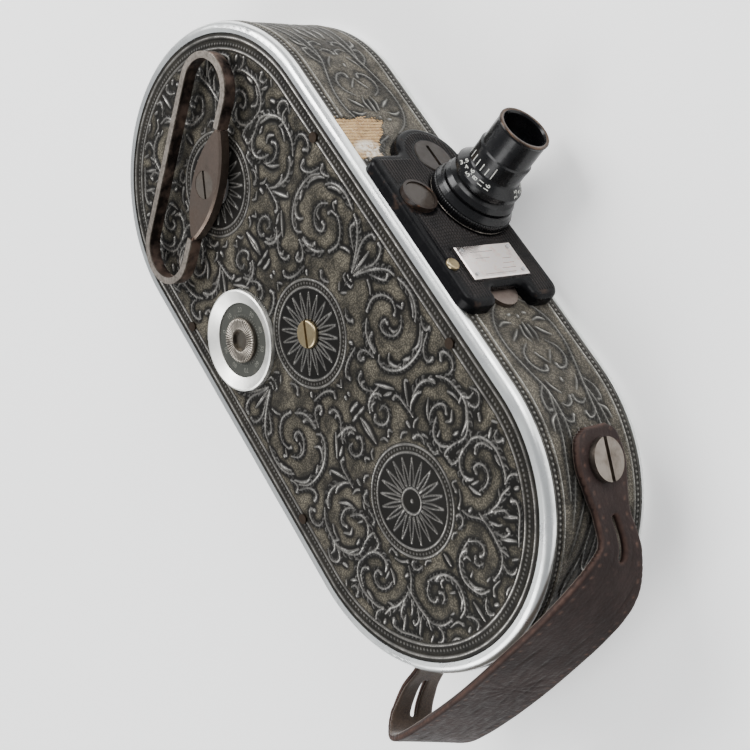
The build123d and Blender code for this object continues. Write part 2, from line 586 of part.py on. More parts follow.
with BuildPart() as great_wheel:
    gear(KEY_CENTRE, GREAT_LAYER, GREAT_TEETH, GREAT_MODULE, GREAT_PHASE)
    with BuildSketch(above(GREAT_LAYER[0], KEY_CENTRE)):
        with PolarLocations(21, 5):
            Circle(7.5)
    extrude(amount=GREAT_LAYER[1], mode=Mode.SUBTRACT)
    disc(above(GREAT_LAYER[0], KEY_CENTRE), KEY_ARBOR_RADIUS + RUNNING, 3, Mode.SUBTRACT)
save("great_wheel", great_wheel)

with BuildPart() as spring_drum:
    disc(above(GREAT_LAYER[0] + GREAT_LAYER[1], KEY_CENTRE), 6.5, 0.3)
    disc(above(DRUM_BOTTOM, KEY_CENTRE), DRUM_RADIUS, DRUM_TOP - DRUM_BOTTOM)
    disc(above(DRUM_BOTTOM + 0.8, KEY_CENTRE), DRUM_RADIUS - 0.9, 10, Mode.SUBTRACT)
    disc(above(28.0, KEY_CENTRE), KEY_ARBOR_RADIUS + RUNNING, 3, Mode.SUBTRACT)
save("spring_drum", spring_drum)

SPRING_TURNS, SPRING_STEPS, SPRING_LEAF = 7, 24, 0.7
with BuildPart() as mainspring:
    with BuildSketch(above(DRUM_BOTTOM + 1.0, KEY_CENTRE)):
        with BuildLine():
            inner, outer = [], []
            for step in range(SPRING_TURNS * SPRING_STEPS + 1):
                share = step / (SPRING_TURNS * SPRING_STEPS)
                coil_radius = 22.0 + 13.5 * share
                angle = 2 * pi * step / SPRING_STEPS
                inner.append((coil_radius * cos(angle), coil_radius * sin(angle)))
                edge_radius = coil_radius + SPRING_LEAF
                outer.append((edge_radius * cos(angle), edge_radius * sin(angle)))
            Polyline(*inner, *reversed(outer), close=True)
        make_face()
    extrude(amount=DRUM_TOP - DRUM_BOTTOM - 1.2)
save("mainspring", mainspring)

with BuildPart() as intermediate_gear:
    gear(INTER_AT, FINE_LAYER, INTER_WHEEL_TEETH, FINE_MODULE, INTER_PHASE)
    gear(INTER_AT, GREAT_LAYER, INTER_PINION_TEETH, GREAT_MODULE, INTER_PHASE)
    disc(above(PLATE_Z, INTER_AT), PIVOT_RADIUS, 4)
save("intermediate_gear", intermediate_gear)

with BuildPart() as sprocket_gear:
    gear(SPROCKET_AT, FINE_LAYER, SPROCKET_TEETH, FINE_MODULE, SPROCKET_PHASE)
    disc(above(5.2, SPROCKET_AT), 2.0, FINE_LAYER[0] - 5.2 + 0.1)
save("sprocket_gear", sprocket_gear)

FILM_BOTTOM, FILM_TOP = 6.4, 22.4
with BuildPart() as film_sprocket:
    disc(above(FILM_BOTTOM - 0.8, SPROCKET_AT), 7.3, FILM_TOP - FILM_BOTTOM + 1.2)
    with BuildSketch(above(FILM_BOTTOM + 2.5, SPROCKET_AT)):
        Circle(8)
        Circle(6, mode=Mode.SUBTRACT)
    extrude(amount=FILM_TOP - FILM_BOTTOM - 5, mode=Mode.SUBTRACT)
    for tooth_z in (FILM_BOTTOM + 0.6, FILM_TOP - 1.6):
        with BuildSketch(above(tooth_z, SPROCKET_AT)):
            with PolarLocations(7.5, 6):
                Rectangle(1.2, 1.3)
        extrude(amount=1.0)
    disc(above(0, SPROCKET_AT), 2.01, 30, Mode.SUBTRACT)
save("film_sprocket", film_sprocket)

with BuildPart() as transfer_gear:
    gear(TRANSFER_AT, FINE_LAYER, TRANSFER_TEETH, FINE_MODULE, TRANSFER_PHASE)
    disc(above(PLATE_Z, TRANSFER_AT), PIVOT_RADIUS, 4)
save("transfer_gear", transfer_gear)

with BuildPart() as takeup_idler:
    gear(IDLER_AT, FINE_LAYER, IDLER_TEETH, FINE_MODULE, IDLER_PHASE)
    disc(above(PLATE_Z, IDLER_AT), PIVOT_RADIUS, 4)
save("takeup_idler", takeup_idler)

with BuildPart() as governor_arbor:
    gear(GOVERNOR_AT, FINE_LAYER, FAST_TEETH, FINE_MODULE, GOVERNOR_PHASE)
    disc(above(PLATE_Z, GOVERNOR_AT), PIVOT_RADIUS, 12)
    block(above(29.6, GOVERNOR_AT), 13, 3.0, 1.0)
    disc(above(34.6, GOVERNOR_AT), 7.5, 1.0)
save("governor_arbor", governor_arbor)

with BuildPart() as governor_weights:
    with BuildSketch(above(30.6, GOVERNOR_AT)):
        with GridLocations(11, 0, 2, 1):
            RectangleRounded(3.0, 5.0, 1.0)
    extrude(amount=3.6)
save("governor_weights", governor_weights)

with BuildPart() as takeup_spindle:
    gear(SPOOL_BOTTOM, FINE_LAYER, TAKEUP_TEETH, FINE_MODULE, TAKEUP_PHASE)
    disc(above(5.4, SPOOL_BOTTOM), 3.0, FINE_LAYER[0] - 5.4 + 0.1)
save("takeup_spindle", takeup_spindle)

SPOOL_RADIUS, SPOOL_CORE, SPOOL_FLANGE = 46.0, 16.0, 0.6
with BuildPart() as takeup_spool:
    disc(above(5.2, SPOOL_BOTTOM), SPOOL_RADIUS, SPOOL_FLANGE)
    disc(above(22.6, SPOOL_BOTTOM), SPOOL_RADIUS, SPOOL_FLANGE)
    disc(above(5.2, SPOOL_BOTTOM), SPOOL_CORE, 17.6)
    disc(above(5.8, SPOOL_BOTTOM), SPOOL_CORE - 1.2, 16.8, Mode.SUBTRACT)
    disc(above(5.2, SPOOL_BOTTOM), 4.5, 18.0)
    disc(above(5.2, SPOOL_BOTTOM), 3.02, 19, Mode.SUBTRACT)
save("takeup_spool", takeup_spool)

with BuildPart() as supply_spindle:
    disc(above(5.4, SPOOL_TOP), 3.0, PLATE_Z + PLATE_THICKNESS - 5.4)
    disc(above(PLATE_Z - 0.6, SPOOL_TOP), 6.0, 0.5)
save("supply_spindle", supply_spindle)

# ---- shutter: a disc behind the lens, driven through a pair of bevel gears ----
BEVEL_MEET_X = SHUTTER_ARBOR_AT[0]
BEVEL_BACK = 3.0            # from the point where the axes meet to each gear's back
BEVEL_FACE = 1.2


def bevel(axis_point, outward, across_dir, phase):
    """Adds a mitre gear whose back lies BEVEL_BACK from axis_point along outward."""
    outer = BEVEL_BACK
    inner = BEVEL_BACK - BEVEL_FACE
    back = Plane(
        origin=Vector(*axis_point) + Vector(*outward) * outer,
        x_dir=across_dir,
        z_dir=Vector(*outward) * -1,
    )
    step = 2 * pi / BEVEL_TEETH
    for_back, for_front = [], []
    for points, reach in ((for_back, outer), (for_front, inner)):
        for tooth in range(BEVEL_TEETH):
            middle = phase + tooth * step
            for share, turn in ((0.80, -0.25), (1.08, -0.11), (1.08, 0.11), (0.80, 0.25)):
                angle = middle + turn * step
                points.append((share * reach * cos(angle), share * reach * sin(angle)))
    with BuildSketch(back) as large:
        with BuildLine():
            Polyline(*for_back, close=True)
        make_face()
    with BuildSketch(back.offset(BEVEL_FACE)) as small:
        with BuildLine():
            Polyline(*for_front, close=True)
        make_face()
    loft([large.sketch, small.sketch], ruled=True)


BEVEL_STEP = 2 * pi / BEVEL_TEETH
with BuildPart() as shutter_arbor:
    gear(SHUTTER_ARBOR_AT, FINE_LAYER, FAST_TEETH, FINE_MODULE, SHUTTER_PHASE)
    bevel(
        (BEVEL_MEET_X, SHUTTER_AXIS[0], SHUTTER_AXIS[1]), (0, 0, 1), (1, 0, 0), 0.0
    )
    disc(above(SHUTTER_AXIS[1] + 2.9, SHUTTER_ARBOR_AT), 1.0, 4.5)
save("shutter_arbor", shutter_arbor)

SHUTTER_X, SHUTTER_RADIUS = 43.4, 14.0
with BuildPart() as shutter_shaft:
    bevel(
        (BEVEL_MEET_X, SHUTTER_AXIS[0], SHUTTER_AXIS[1]),
        (1, 0, 0),
        (0, 0, 1),
        BEVEL_STEP / 2,
    )
    disc(across(BEVEL_MEET_X + 2.9, SHUTTER_AXIS), 1.0, 5.2)
save("shutter_shaft", shutter_shaft)

with BuildPart() as shutter_disc:
    disc(across(SHUTTER_X, SHUTTER_AXIS), SHUTTER_RADIUS, 0.6)
    with BuildSketch(across(SHUTTER_X, SHUTTER_AXIS)):
        with BuildLine():
            opening_start = CenterArc((0, 0), 13.0, -125, 165)
            opening_end = CenterArc((0, 0), 4.0, -125, 165)
            Line(opening_start @ 0, opening_end @ 0)
            Line(opening_start @ 1, opening_end @ 1)
        make_face()
    extrude(amount=1, mode=Mode.SUBTRACT)
    disc(across(SHUTTER_X, SHUTTER_AXIS), 1.01, 2, Mode.SUBTRACT)
save("shutter_disc", shutter_disc)

# ---- film gate ----
GATE_X, GATE_THICKNESS = 33.2, 1.2
CLAW_STROKE = 7.62          # one frame of film
with BuildPart() as gate_plate:
    block(across(GATE_X, (0, 14.2)), 38, 18.4, GATE_THICKNESS)
    block(across(GATE_X, (LENS_AXIS[0], LENS_AXIS[1])), 7.5, 10.3, 2, Mode.SUBTRACT)
    block(across(GATE_X, (-10.6, 7.6)), CLAW_STROKE + 3.0, 1.8, 2, Mode.SUBTRACT)
save("gate_plate", gate_plate)

with BuildPart() as film_claw:
    block(across(GATE_X + GATE_THICKNESS + 0.1, (-9.6, 7.4)), 8.0, 3.4, 0.9)
    block(across(GATE_X - 0.3, (-6.8, 7.6)), 1.2, 1.0, 1.7)
save("film_claw", film_claw)

with BuildPart() as pressure_plate:
    block(across(31.4, (0, 14.4)), 28, 16.0, 1.4)
    block(across(31.4, (0, 14.4)), 16, 6.0, 3, Mode.SUBTRACT)
    block(across(30.6, (10.5, 14.4)), 5, 10.0, 0.8)
save("pressure_plate", pressure_plate)

# ---- footage dial ----
with BuildPart() as dial_bezel:
    with BuildSketch(Plane(origin=(DIAL_AT[0], DIAL_AT[1], 0), x_dir=(1, 0, 0), z_dir=(0, -1, 0))):
        with BuildLine():
            Polyline(
                (DIAL_BEZEL_RADIUS, FACE_Z),
                (DIAL_BEZEL_RADIUS, BODY_DEPTH + 1.2),
                (DIAL_BEZEL_RADIUS - 0.5, BODY_DEPTH + 1.4),
                (DIAL_WINDOW_RADIUS, BODY_DEPTH - 0.1),
                (DIAL_WINDOW_RADIUS, FACE_Z),
                close=True,
            )
        make_face()
    revolve(axis=Axis((DIAL_AT[0], DIAL_AT[1], 0), (0, 0, 1)))
save("dial_bezel", dial_bezel)

with BuildPart() as dial_disc:
    disc(above(38.6, DIAL_AT), DIAL_WINDOW_RADIUS - 0.15, 0.9)
    disc(above(38.6, DIAL_AT), 1.51, 2, Mode.SUBTRACT)
save("dial_disc", dial_disc)

with BuildPart() as dial_knob:
    disc(above(39.5, DIAL_AT), 6.8, 1.4)
    chamfer(dial_knob.faces().sort_by(Axis.Z)[-1].edges(), 0.3)
    disc(above(39.9, DIAL_AT), 3.1, 2, Mode.SUBTRACT)
save("dial_knob", dial_knob)

with BuildPart() as dial_gear:
    gear(DIAL_AT, GREAT_LAYER, DIAL_TEETH, GREAT_MODULE, DIAL_PHASE)
    disc(above(PLATE_Z, DIAL_AT), PIVOT_RADIUS, 6)
    disc(above(GREAT_LAYER[0], DIAL_AT), 1.5, 39.5 - GREAT_LAYER[0])
save("dial_gear", dial_gear)

# ==== film door ====
DOOR_SKIN = 0.8
LOCK_RADIUS, LOCK_DEPTH = 12.0, 1.3
LIP_OUTER, LIP_INNER, LIP_TOP = 46.3, 44.8, 4.6
with BuildPart() as door_panel:
    with BuildSketch(layer(0)):
        stadium(BODY_RADIUS)
    extrude(amount=RIM_HEIGHT)
    fillet(door_panel.edges().group_by(Axis.Z)[0], RIM_HEIGHT - 0.3)
    with BuildSketch(layer(RIM_HEIGHT)):
        stadium(LIP_OUTER)
        stadium(LIP_INNER, Mode.SUBTRACT)
    extrude(amount=LIP_TOP - RIM_HEIGHT)
    for side in (1, -1):
        block(above(3.4, (0, side * (END_CENTRE + 45.5))), 5.4, 3.0, 2, Mode.SUBTRACT)
    with BuildSketch(layer(0)):
        stadium(PANEL_RADIUS)
    extrude(amount=DOOR_SKIN, mode=Mode.SUBTRACT)
    disc(layer(0), LOCK_RADIUS, LOCK_DEPTH, Mode.SUBTRACT)
    disc(layer(0), 3.0 + RUNNING, 5, Mode.SUBTRACT)
save("door_panel", door_panel)

with BuildPart() as door_covering:
    with BuildSketch(layer(0)):
        stadium(PANEL_RADIUS)
        Circle(LOCK_RADIUS + 0.1, mode=Mode.SUBTRACT)
    extrude(amount=DOOR_SKIN)
save("door_covering", door_covering)

with BuildPart() as lock_disc:
    disc(layer(0), LOCK_RADIUS - 0.1, LOCK_DEPTH - 0.1)
    for side in (1, -1):
        with BuildSketch(layer(0)) as finger_hollow:
            with Locations((side * 6.2, 0)):
                SlotCenterToCenter(7.0, 5.0, rotation=90)
        extrude(finger_hollow.sketch, amount=0.7, mode=Mode.SUBTRACT)
    disc(layer(1.0), 3.0, 2.6)
    disc(layer(2.5), 5.0, 1.1)
save("lock_disc", lock_disc)

BOLT_BOTTOM_Z, BOLT_THROW = 3.7, 3.0
for bolt_name, side in (("lock_bolt_top", 1), ("lock_bolt_bottom", -1)):
    with BuildPart() as lock_bolt:
        block(above(BOLT_BOTTOM_Z, (0, side * 53.0)), 5.0, 95.0, 1.0)
    save(bolt_name, lock_bolt)

# ==== hand strap ====
STRAP_RADIUS = BODY_RADIUS + 0.05 + STRAP_THICKNESS / 2
SLOT_LENGTH, SLOT_WIDTH = 12.0, 2.2


def beside_screw(side, reach, lean, width):
    """A point of the strap's straight end; reach runs down from the screw."""
    angle = radians(STRAP_SCREW_ANGLE)
    x = side * (STRAP_RADIUS * cos(angle) - reach * sin(angle))
    y = -END_CENTRE - STRAP_RADIUS * sin(angle) - reach * cos(angle)
    return (x, y, STRAP_SCREW_Z, lean, width)


# Middle line from the screw at the lens side, down, along under the bottom end and up
# to the screw at the back edge; each entry is (x, y, z, lean in degrees, width). Lean
# tips the strap's upper edge towards the casing.
STRAP_ROUTE = [
    beside_screw(1, -9.0, 0, 9.0),
    beside_screw(1, -6.5, 0, 16.0),
    beside_screw(1, 0, 0, 19.0),
    beside_screw(1, 7.0, 0, 16.5),
    beside_screw(1, 14.0, 1, 13.5),
    (34.6, -100.6, 21.0, 8, 15.0),
    (28.5, -106.6, 25.0, 16, 21.0),
    (18.0, -109.8, 30.0, 22, 23.0),
    (0.0, -111.0, 32.4, 24, 23.0),
    (-20.0, -110.9, 32.2, 24, 23.0),
    (-40.0, -109.4, 31.0, 24, 23.0),
    (-51.5, -107.4, 29.8, 22, 22.5),
    (-58.6, -103.4, 28.4, 17, 19.0),
    (-58.8, -97.6, 26.4, 12, 14.5),
    (-53.4, -92.4, 23.4, 6, 13.5),
    (-47.4, -89.8, 21.0, 2, 13.5),
    (-42.6, -88.2, 19.8, 0, 14.5),
    beside_screw(-1, 5.4, 0, 17.0),
    beside_screw(-1, 0, 0, 19.0),
    beside_screw(-1, -6.5, 0, 16.0),
    beside_screw(-1, -9.0, 0, 9.0),
]
STATIONS_PER_SPAN = 3


def between(before, start, end, after, share):
    """Catmull-Rom interpolation between two route entries."""
    values = []
    for a, b, c, d in zip(before, start, end, after):
        values.append(
            b
            + 0.5 * share * (c - a)
            + share**2 * (a - 2.5 * b + 2 * c - 0.5 * d)
            + share**3 * (-0.5 * a + 1.5 * b - 1.5 * c + 0.5 * d)
        )
    return values


strap_stations = []
for index in range(len(STRAP_ROUTE) - 1):
    before = STRAP_ROUTE[max(index - 1, 0)]
    after = STRAP_ROUTE[min(index + 2, len(STRAP_ROUTE) - 1)]
    for part_step in range(STATIONS_PER_SPAN):
        strap_stations.append(
            between(
                before,
                STRAP_ROUTE[index],
                STRAP_ROUTE[index + 1],
                after,
                part_step / STATIONS_PER_SPAN,
            )
        )
strap_stations.append(list(STRAP_ROUTE[-1]))


def strap_plane(index):
    """Cross-section plane of the strap: local x across its width, z along it."""
    here = Vector(*strap_stations[index][:3])
    behind = Vector(*strap_stations[max(index - 1, 0)][:3])
    ahead = Vector(*strap_stations[min(index + 1, len(strap_stations) - 1)][:3])
    along = (ahead - behind).normalized()
    lean = radians(strap_stations[index][3])
    width_way = Vector(0, sin(lean), cos(lean))
    width_way = (width_way - along * width_way.dot(along)).normalized()
    return Plane(origin=here, x_dir=width_way, z_dir=along)


with BuildPart() as hand_strap:
    for index in range(len(strap_stations)):
        with BuildSketch(strap_plane(index)):
            Rectangle(strap_stations[index][4], STRAP_THICKNESS)
    loft(ruled=True)
    for side in (1, -1):
        disc(strap_screw_plane(side, 46), STRAP_SHANK_RADIUS + 0.1, 8, Mode.SUBTRACT)
    for slot_station in (4 * STATIONS_PER_SPAN + 2, 13 * STATIONS_PER_SPAN + 2):
        section = strap_plane(slot_station)
        slot_plane = Plane(
            origin=section.origin - section.y_dir * 4,
            x_dir=section.z_dir,
            z_dir=section.y_dir,
        )
        block(slot_plane, SLOT_LENGTH, SLOT_WIDTH, 8, Mode.SUBTRACT)
save("hand_strap", hand_strap)

HEAD_BOTTOM = BODY_RADIUS + 0.1 + STRAP_THICKNESS
with BuildPart() as strap_screws:
    for side in (1, -1):
        disc(strap_screw_plane(side, CAVITY_RADIUS + 0.2), STRAP_SHANK_RADIUS - 0.01, 5.2)
        disc(strap_screw_plane(side, HEAD_BOTTOM), 5.8, 1.9)
        block(strap_screw_plane(side, HEAD_BOTTOM + 0.9), 1.3, 14, 2, Mode.SUBTRACT)
save("strap_screws", strap_screws)
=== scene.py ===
import math

import bmesh
import bpy
import numpy as np
from mathutils import Matrix, Vector


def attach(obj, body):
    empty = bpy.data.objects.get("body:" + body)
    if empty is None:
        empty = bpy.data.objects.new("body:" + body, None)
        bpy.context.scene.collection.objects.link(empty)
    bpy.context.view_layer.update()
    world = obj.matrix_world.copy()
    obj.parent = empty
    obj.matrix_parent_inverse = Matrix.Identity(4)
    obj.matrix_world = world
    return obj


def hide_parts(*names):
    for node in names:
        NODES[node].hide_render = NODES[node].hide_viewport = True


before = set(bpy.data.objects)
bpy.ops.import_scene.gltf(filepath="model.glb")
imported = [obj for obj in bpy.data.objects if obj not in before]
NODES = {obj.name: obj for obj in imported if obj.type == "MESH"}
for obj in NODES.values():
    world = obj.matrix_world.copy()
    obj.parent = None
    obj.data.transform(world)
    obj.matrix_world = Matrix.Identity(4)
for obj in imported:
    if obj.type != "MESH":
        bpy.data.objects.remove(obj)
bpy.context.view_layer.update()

# Lengths in this script are millimetres in the row frame; MM turns them into metres.
MM = 0.001
BODY_RADIUS = 49.0
END_CENTRE = 56.0
PANEL_RADIUS = 45.7
FACE_TOP = 40.0
BAND_LOW, BAND_HIGH = 2.5, 37.7
FRONT_X = 53.0
KEY_CENTRE = (0.0, 58.0)
DIAL_CENTRE = (-25.387, 18.15)
DIAL_RADIUS = 15.45
LENS_Y, LENS_Z = 0.0, 14.4
MEDALLIONS = ((0.0, 58.0), (0.0, 0.0), (0.0, -58.0))
RIVETS = [(x, y) for x in (-41.3, 41.3) for y in (-36.5, 36.5)]
LOCK_RADIUS = 12.1


# ==== helpers for node materials ====
class Shade:
    """A material's node tree, with short calls for the nodes used here."""

    def __init__(self, name):
        self.material = bpy.data.materials.new(name)
        self.material.use_nodes = True
        self.tree = self.material.node_tree
        self.shader = self.tree.nodes["Principled BSDF"]
        self.place = self.tree.nodes.new("ShaderNodeTexCoord").outputs["Object"]

    def node(self, kind, **inputs):
        made = self.tree.nodes.new(kind)
        for key, value in inputs.items():
            self.feed(made.inputs[key.replace("_", " ")], value)
        return made

    def feed(self, socket, value):
        if isinstance(value, bpy.types.NodeSocket):
            self.tree.links.new(value, socket)
        else:
            socket.default_value = value

    def noise(self, size, detail=3.0, rough=0.55, stretch=None):
        """Noise with features of about size millimetres."""
        place = self.place
        if stretch:
            place = self.node("ShaderNodeMapping", Vector=place, Scale=stretch).outputs[0]
        made = self.node("ShaderNodeTexNoise", Vector=place, Scale=1 / (size * MM))
        made.inputs["Detail"].default_value = detail
        made.inputs["Roughness"].default_value = rough
        return made.outputs["Fac"]

    def cells(self, size):
        made = self.node("ShaderNodeTexVoronoi", Vector=self.place, Scale=1 / (size * MM))
        return made.outputs["Distance"]

    def attribute(self, name):
        made = self.tree.nodes.new("ShaderNodeAttribute")
        made.attribute_name = name
        return made.outputs["Fac"]

    def math(self, operation, a, b):
        made = self.tree.nodes.new("ShaderNodeMath")
        made.operation = operation
        self.feed(made.inputs[0], a)
        self.feed(made.inputs[1], b)
        return made.outputs[0]

    def times(self, a, b):
        return self.math("MULTIPLY", a, b)

    def span(self, value, low, high, start=0.0, end=1.0):
        """Maps low..high to start..end, clamped."""
        made = self.tree.nodes.new("ShaderNodeMapRange")
        self.feed(made.inputs["Value"], value)
        limits = {"From Min": low, "From Max": high, "To Min": start, "To Max": end}
        for key, number in limits.items():
            made.inputs[key].default_value = number
        return made.outputs[0]

    def blend(self, share, a, b):
        made = self.tree.nodes.new("ShaderNodeMix")
        made.data_type = "RGBA"
        self.feed(made.inputs["Factor"], share)
        self.feed_colour(made.inputs[6], a)
        self.feed_colour(made.inputs[7], b)
        return made.outputs[2]

    def axis(self, which):
        return self.node("ShaderNodeSeparateXYZ", Vector=self.place).outputs[which]

    def feed_colour(self, socket, value):
        self.feed(socket, value if isinstance(value, bpy.types.NodeSocket) else (*value, 1.0))

    def colour(self, value):
        self.feed_colour(self.shader.inputs["Base Color"], value)

    def set(self, **values):
        for key, value in values.items():
            self.feed(self.shader.inputs[key.replace("_", " ")], value)

    def bump(self, height, depth):
        """Adds bump of about depth millimetres; several calls stack."""
        made = self.tree.nodes.new("ShaderNodeBump")
        made.inputs["Distance"].default_value = depth * MM
        self.feed(made.inputs["Height"], height)
        before = self.shader.inputs["Normal"].links
        if before:
            self.tree.links.new(before[0].from_socket, made.inputs["Normal"])
        self.tree.links.new(made.outputs[0], self.shader.inputs["Normal"])


def worn_metal(name, base, tarnish, roughness, wear_size, tarnish_share):
    """Metal with cloudy tarnish, fine scratches and uneven gloss."""
    s = Shade(name)
    cloud = s.noise(wear_size, 5)
    fine = s.noise(0.9, 4)
    mixed = s.math("ADD", cloud, s.times(fine, 0.25))
    share = s.span(mixed, 0.75 - tarnish_share * 0.35, 0.95)
    s.colour(s.blend(share, base, tarnish))
    streaks = s.noise(0.35, 3, 0.6, stretch=(1.0, 0.06, 1.0))
    rough = s.math("ADD", s.span(cloud, 0.3, 0.7, roughness * 0.75, roughness * 1.3),
                   s.span(streaks, 0.4, 0.75, 0.0, 0.05))
    s.set(Metallic=1.0, Roughness=rough)
    s.bump(streaks, 0.006)
    s.bump(fine, 0.01)
    return s.material


def toothed_metal():
    """Teeth with painted highlights on their crests and painted shade in the grooves between them."""
    s = Shade("knob_teeth_metal")
    tooth = s.times(s.attribute("tooth"), s.span(s.noise(4, 4), 0.3, 0.6, 0.5, 1.0))
    # Painted light: crests lit towards bright metal, grooves shaded near black.
    s.colour(s.blend(tooth, (0.018, 0.014, 0.012), (0.50, 0.45, 0.38)))
    s.set(Metallic=0.85, Roughness=0.33)
    s.bump(s.noise(0.5, 3), 0.012)
    return s.material


def polished_rim():
    s = Shade("polished_rim")
    cloud = s.noise(9, 4)
    spots = s.cells(3.2)
    pits = s.span(s.noise(0.7, 4), 0.62, 0.75)
    tone = s.blend(s.span(cloud, 0.35, 0.7), (0.88, 0.89, 0.88), (0.66, 0.68, 0.66))
    tone = s.blend(s.times(pits, 0.35), tone, (0.32, 0.30, 0.27))
    s.colour(tone)
    s.set(Metallic=1.0, Roughness=s.span(cloud, 0.3, 0.7, 0.22, 0.38))
    s.bump(s.noise(0.5, 3, 0.6, stretch=(1.0, 0.08, 1.0)), 0.01)
    s.bump(spots, 0.008)
    return s.material


def embossed(name, recess, ground, ridge):
    """Antique embossing: black recesses that are partly patina and partly painted shade, ridge flanks
    darkened with painted shade, stippled tan ground, and silvery worn crests with painted glints.
    """
    s = Shade(name)
    crest = s.attribute("ridge")
    open_ground = s.attribute("ground")
    cloud = s.noise(8, 4)
    drift = s.noise(26, 3)
    stipple = s.cells(0.50)
    grain = s.noise(0.35, 3)
    # Ground near the strokes keeps the recess colour: partly patina, partly painted shade.
    patch = s.times(open_ground, s.span(cloud, 0.36, 0.60, 0.22, 1.0))
    patch = s.times(patch, s.span(stipple, 0.15, 0.60, 1.0, 0.30))
    tone = s.blend(s.span(drift, 0.4, 0.62), recess, [c * 2.0 for c in recess])
    tone = s.blend(patch, tone, ground)
    # Painted shade: the ridge flanks are darkened towards a dim silver.
    flank = s.times(s.span(crest, 0.10, 0.55), s.span(cloud, 0.35, 0.65, 0.25, 0.6))
    tone = s.blend(flank, tone, [c * 0.24 for c in ridge])
    # Painted glints: bright silver along the crest tops, over the worn silver of the crests.
    silver_crest_and_glint = s.times(s.span(crest, 0.62, 0.98), s.span(grain, 0.34, 0.60, 0.35, 1.0))
    silver_crest_and_glint = s.times(silver_crest_and_glint, s.span(s.noise(4, 3), 0.38, 0.58, 0.35, 1.0))
    tone = s.blend(silver_crest_and_glint, tone, ridge)
    s.colour(tone)
    s.set(Metallic=s.span(crest, 0.3, 0.9, 0.0, 0.8))
    s.set(Specular_IOR_Level=s.span(crest, 0.1, 0.7, 0.10, 0.5))
    s.set(Roughness=s.span(crest, 0.2, 0.9, 0.5, 0.26))
    s.bump(s.times(stipple, open_ground), 0.16)
    s.bump(grain, 0.035)
    return s.material


def tipped_metal(name, side, top, level):
    """Painted highlight and painted shade: lighter metal above a height, and dark sides with random brown
    patches below it.
    """
    s = Shade(name)
    cloud = s.noise(6, 4)
    fine = s.noise(0.9, 3)
    dark = s.blend(s.span(cloud, 0.42, 0.62), side, (0.27, 0.19, 0.155))
    bright = s.blend(s.span(fine, 0.4, 0.7), top, [c * 0.55 for c in top])
    height = s.math("ADD", s.axis(2), s.times(s.math("SUBTRACT", cloud, 0.5), 0.6 * MM))
    # Painted light: the metal above level is lit, and the sides below it are shaded.
    s.colour(s.blend(s.span(height, (level - 0.25) * MM, (level + 0.05) * MM), dark, bright))
    s.set(Metallic=0.9, Roughness=s.span(cloud, 0.3, 0.7, 0.26, 0.42))
    s.bump(fine, 0.012)
    return s.material


def black_lacquer(name, roughness, base=(0.012, 0.012, 0.013), wear=(0.16, 0.10, 0.07),
                  wear_share=0.3, gloss=0.22):
    s = Shade(name)
    cloud = s.noise(5, 4)
    rub = s.times(s.span(cloud, 0.6, 0.78), wear_share)
    s.colour(s.blend(rub, base, wear))
    s.set(Roughness=s.span(s.noise(2.5, 4), 0.3, 0.7, roughness * 0.75, roughness * 1.35))
    s.set(Specular_IOR_Level=gloss, Coat_Weight=0.4 * gloss, Coat_Roughness=0.15)
    s.bump(s.noise(0.6, 3), 0.012)
    return s.material


def ribbed_lacquer():
    """The plate's lacquer with the tops of its ribs painted lighter brown as a highlight."""
    s = Shade("ribbed_lacquer")
    rub_wear_and_highlight = s.times(s.attribute("rib"), s.span(s.noise(6, 4), 0.34, 0.62, 0.35, 1.0))
    # Painted highlight: lighter brown on the rib tops.
    s.colour(s.blend(rub_wear_and_highlight, (0.0025, 0.0025, 0.003), (0.036, 0.029, 0.026)))
    s.set(Roughness=0.36, Specular_IOR_Level=0.10)
    s.bump(s.noise(0.6, 3), 0.012)
    return s.material


def clear_glass(name, tint):
    s = Shade(name)
    s.colour(tint)
    s.set(Roughness=0.03, IOR=1.5, Transmission_Weight=0.85, Coat_Weight=0.5)
    s.bump(s.noise(4, 2), 0.004)
    return s.material


def strap_leather():
    s = Shade("strap_leather")
    light = (0.036, 0.0245, 0.0222)
    cloud = s.noise(16, 5)
    mottle = s.noise(2.2, 4)
    pores = s.cells(0.9)
    tone = s.blend(s.span(cloud, 0.35, 0.68), (0.018, 0.0122, 0.0113), light)
    tone = s.blend(s.times(s.span(mottle, 0.55, 0.75), 0.5), tone, [c * 1.3 for c in light])
    rub_wear_and_highlight = s.times(s.attribute("rub_wear_and_highlight"), s.span(mottle, 0.35, 0.65, 0.4, 1.0))
    tone = s.blend(rub_wear_and_highlight, tone, (0.115, 0.066, 0.050))
    # Painted shade: the creases and the pressed star are darkened.
    tone = s.blend(s.attribute("crease"), tone, (0.012, 0.008, 0.007))
    s.colour(tone)
    s.set(Roughness=s.span(mottle, 0.3, 0.7, 0.42, 0.62), Specular_IOR_Level=0.07)
    s.bump(pores, 0.06)
    s.bump(s.noise(0.5, 4), 0.05)
    s.bump(s.noise(3.5, 3, 0.5, stretch=(0.25, 1.0, 1.0)), 0.12)
    return s.material


def suede():
    s = Shade("strap_suede")
    fibre = s.noise(0.5, 5, 0.7)
    cloud = s.noise(6, 4)
    tone = s.blend(s.span(cloud, 0.35, 0.65), (0.020, 0.012, 0.008), (0.050, 0.030, 0.018))
    s.colour(s.blend(s.span(fibre, 0.4, 0.7), tone, (0.080, 0.050, 0.032)))
    s.set(Roughness=0.9, Sheen_Weight=0.3)
    s.bump(fibre, 0.16)
    return s.material


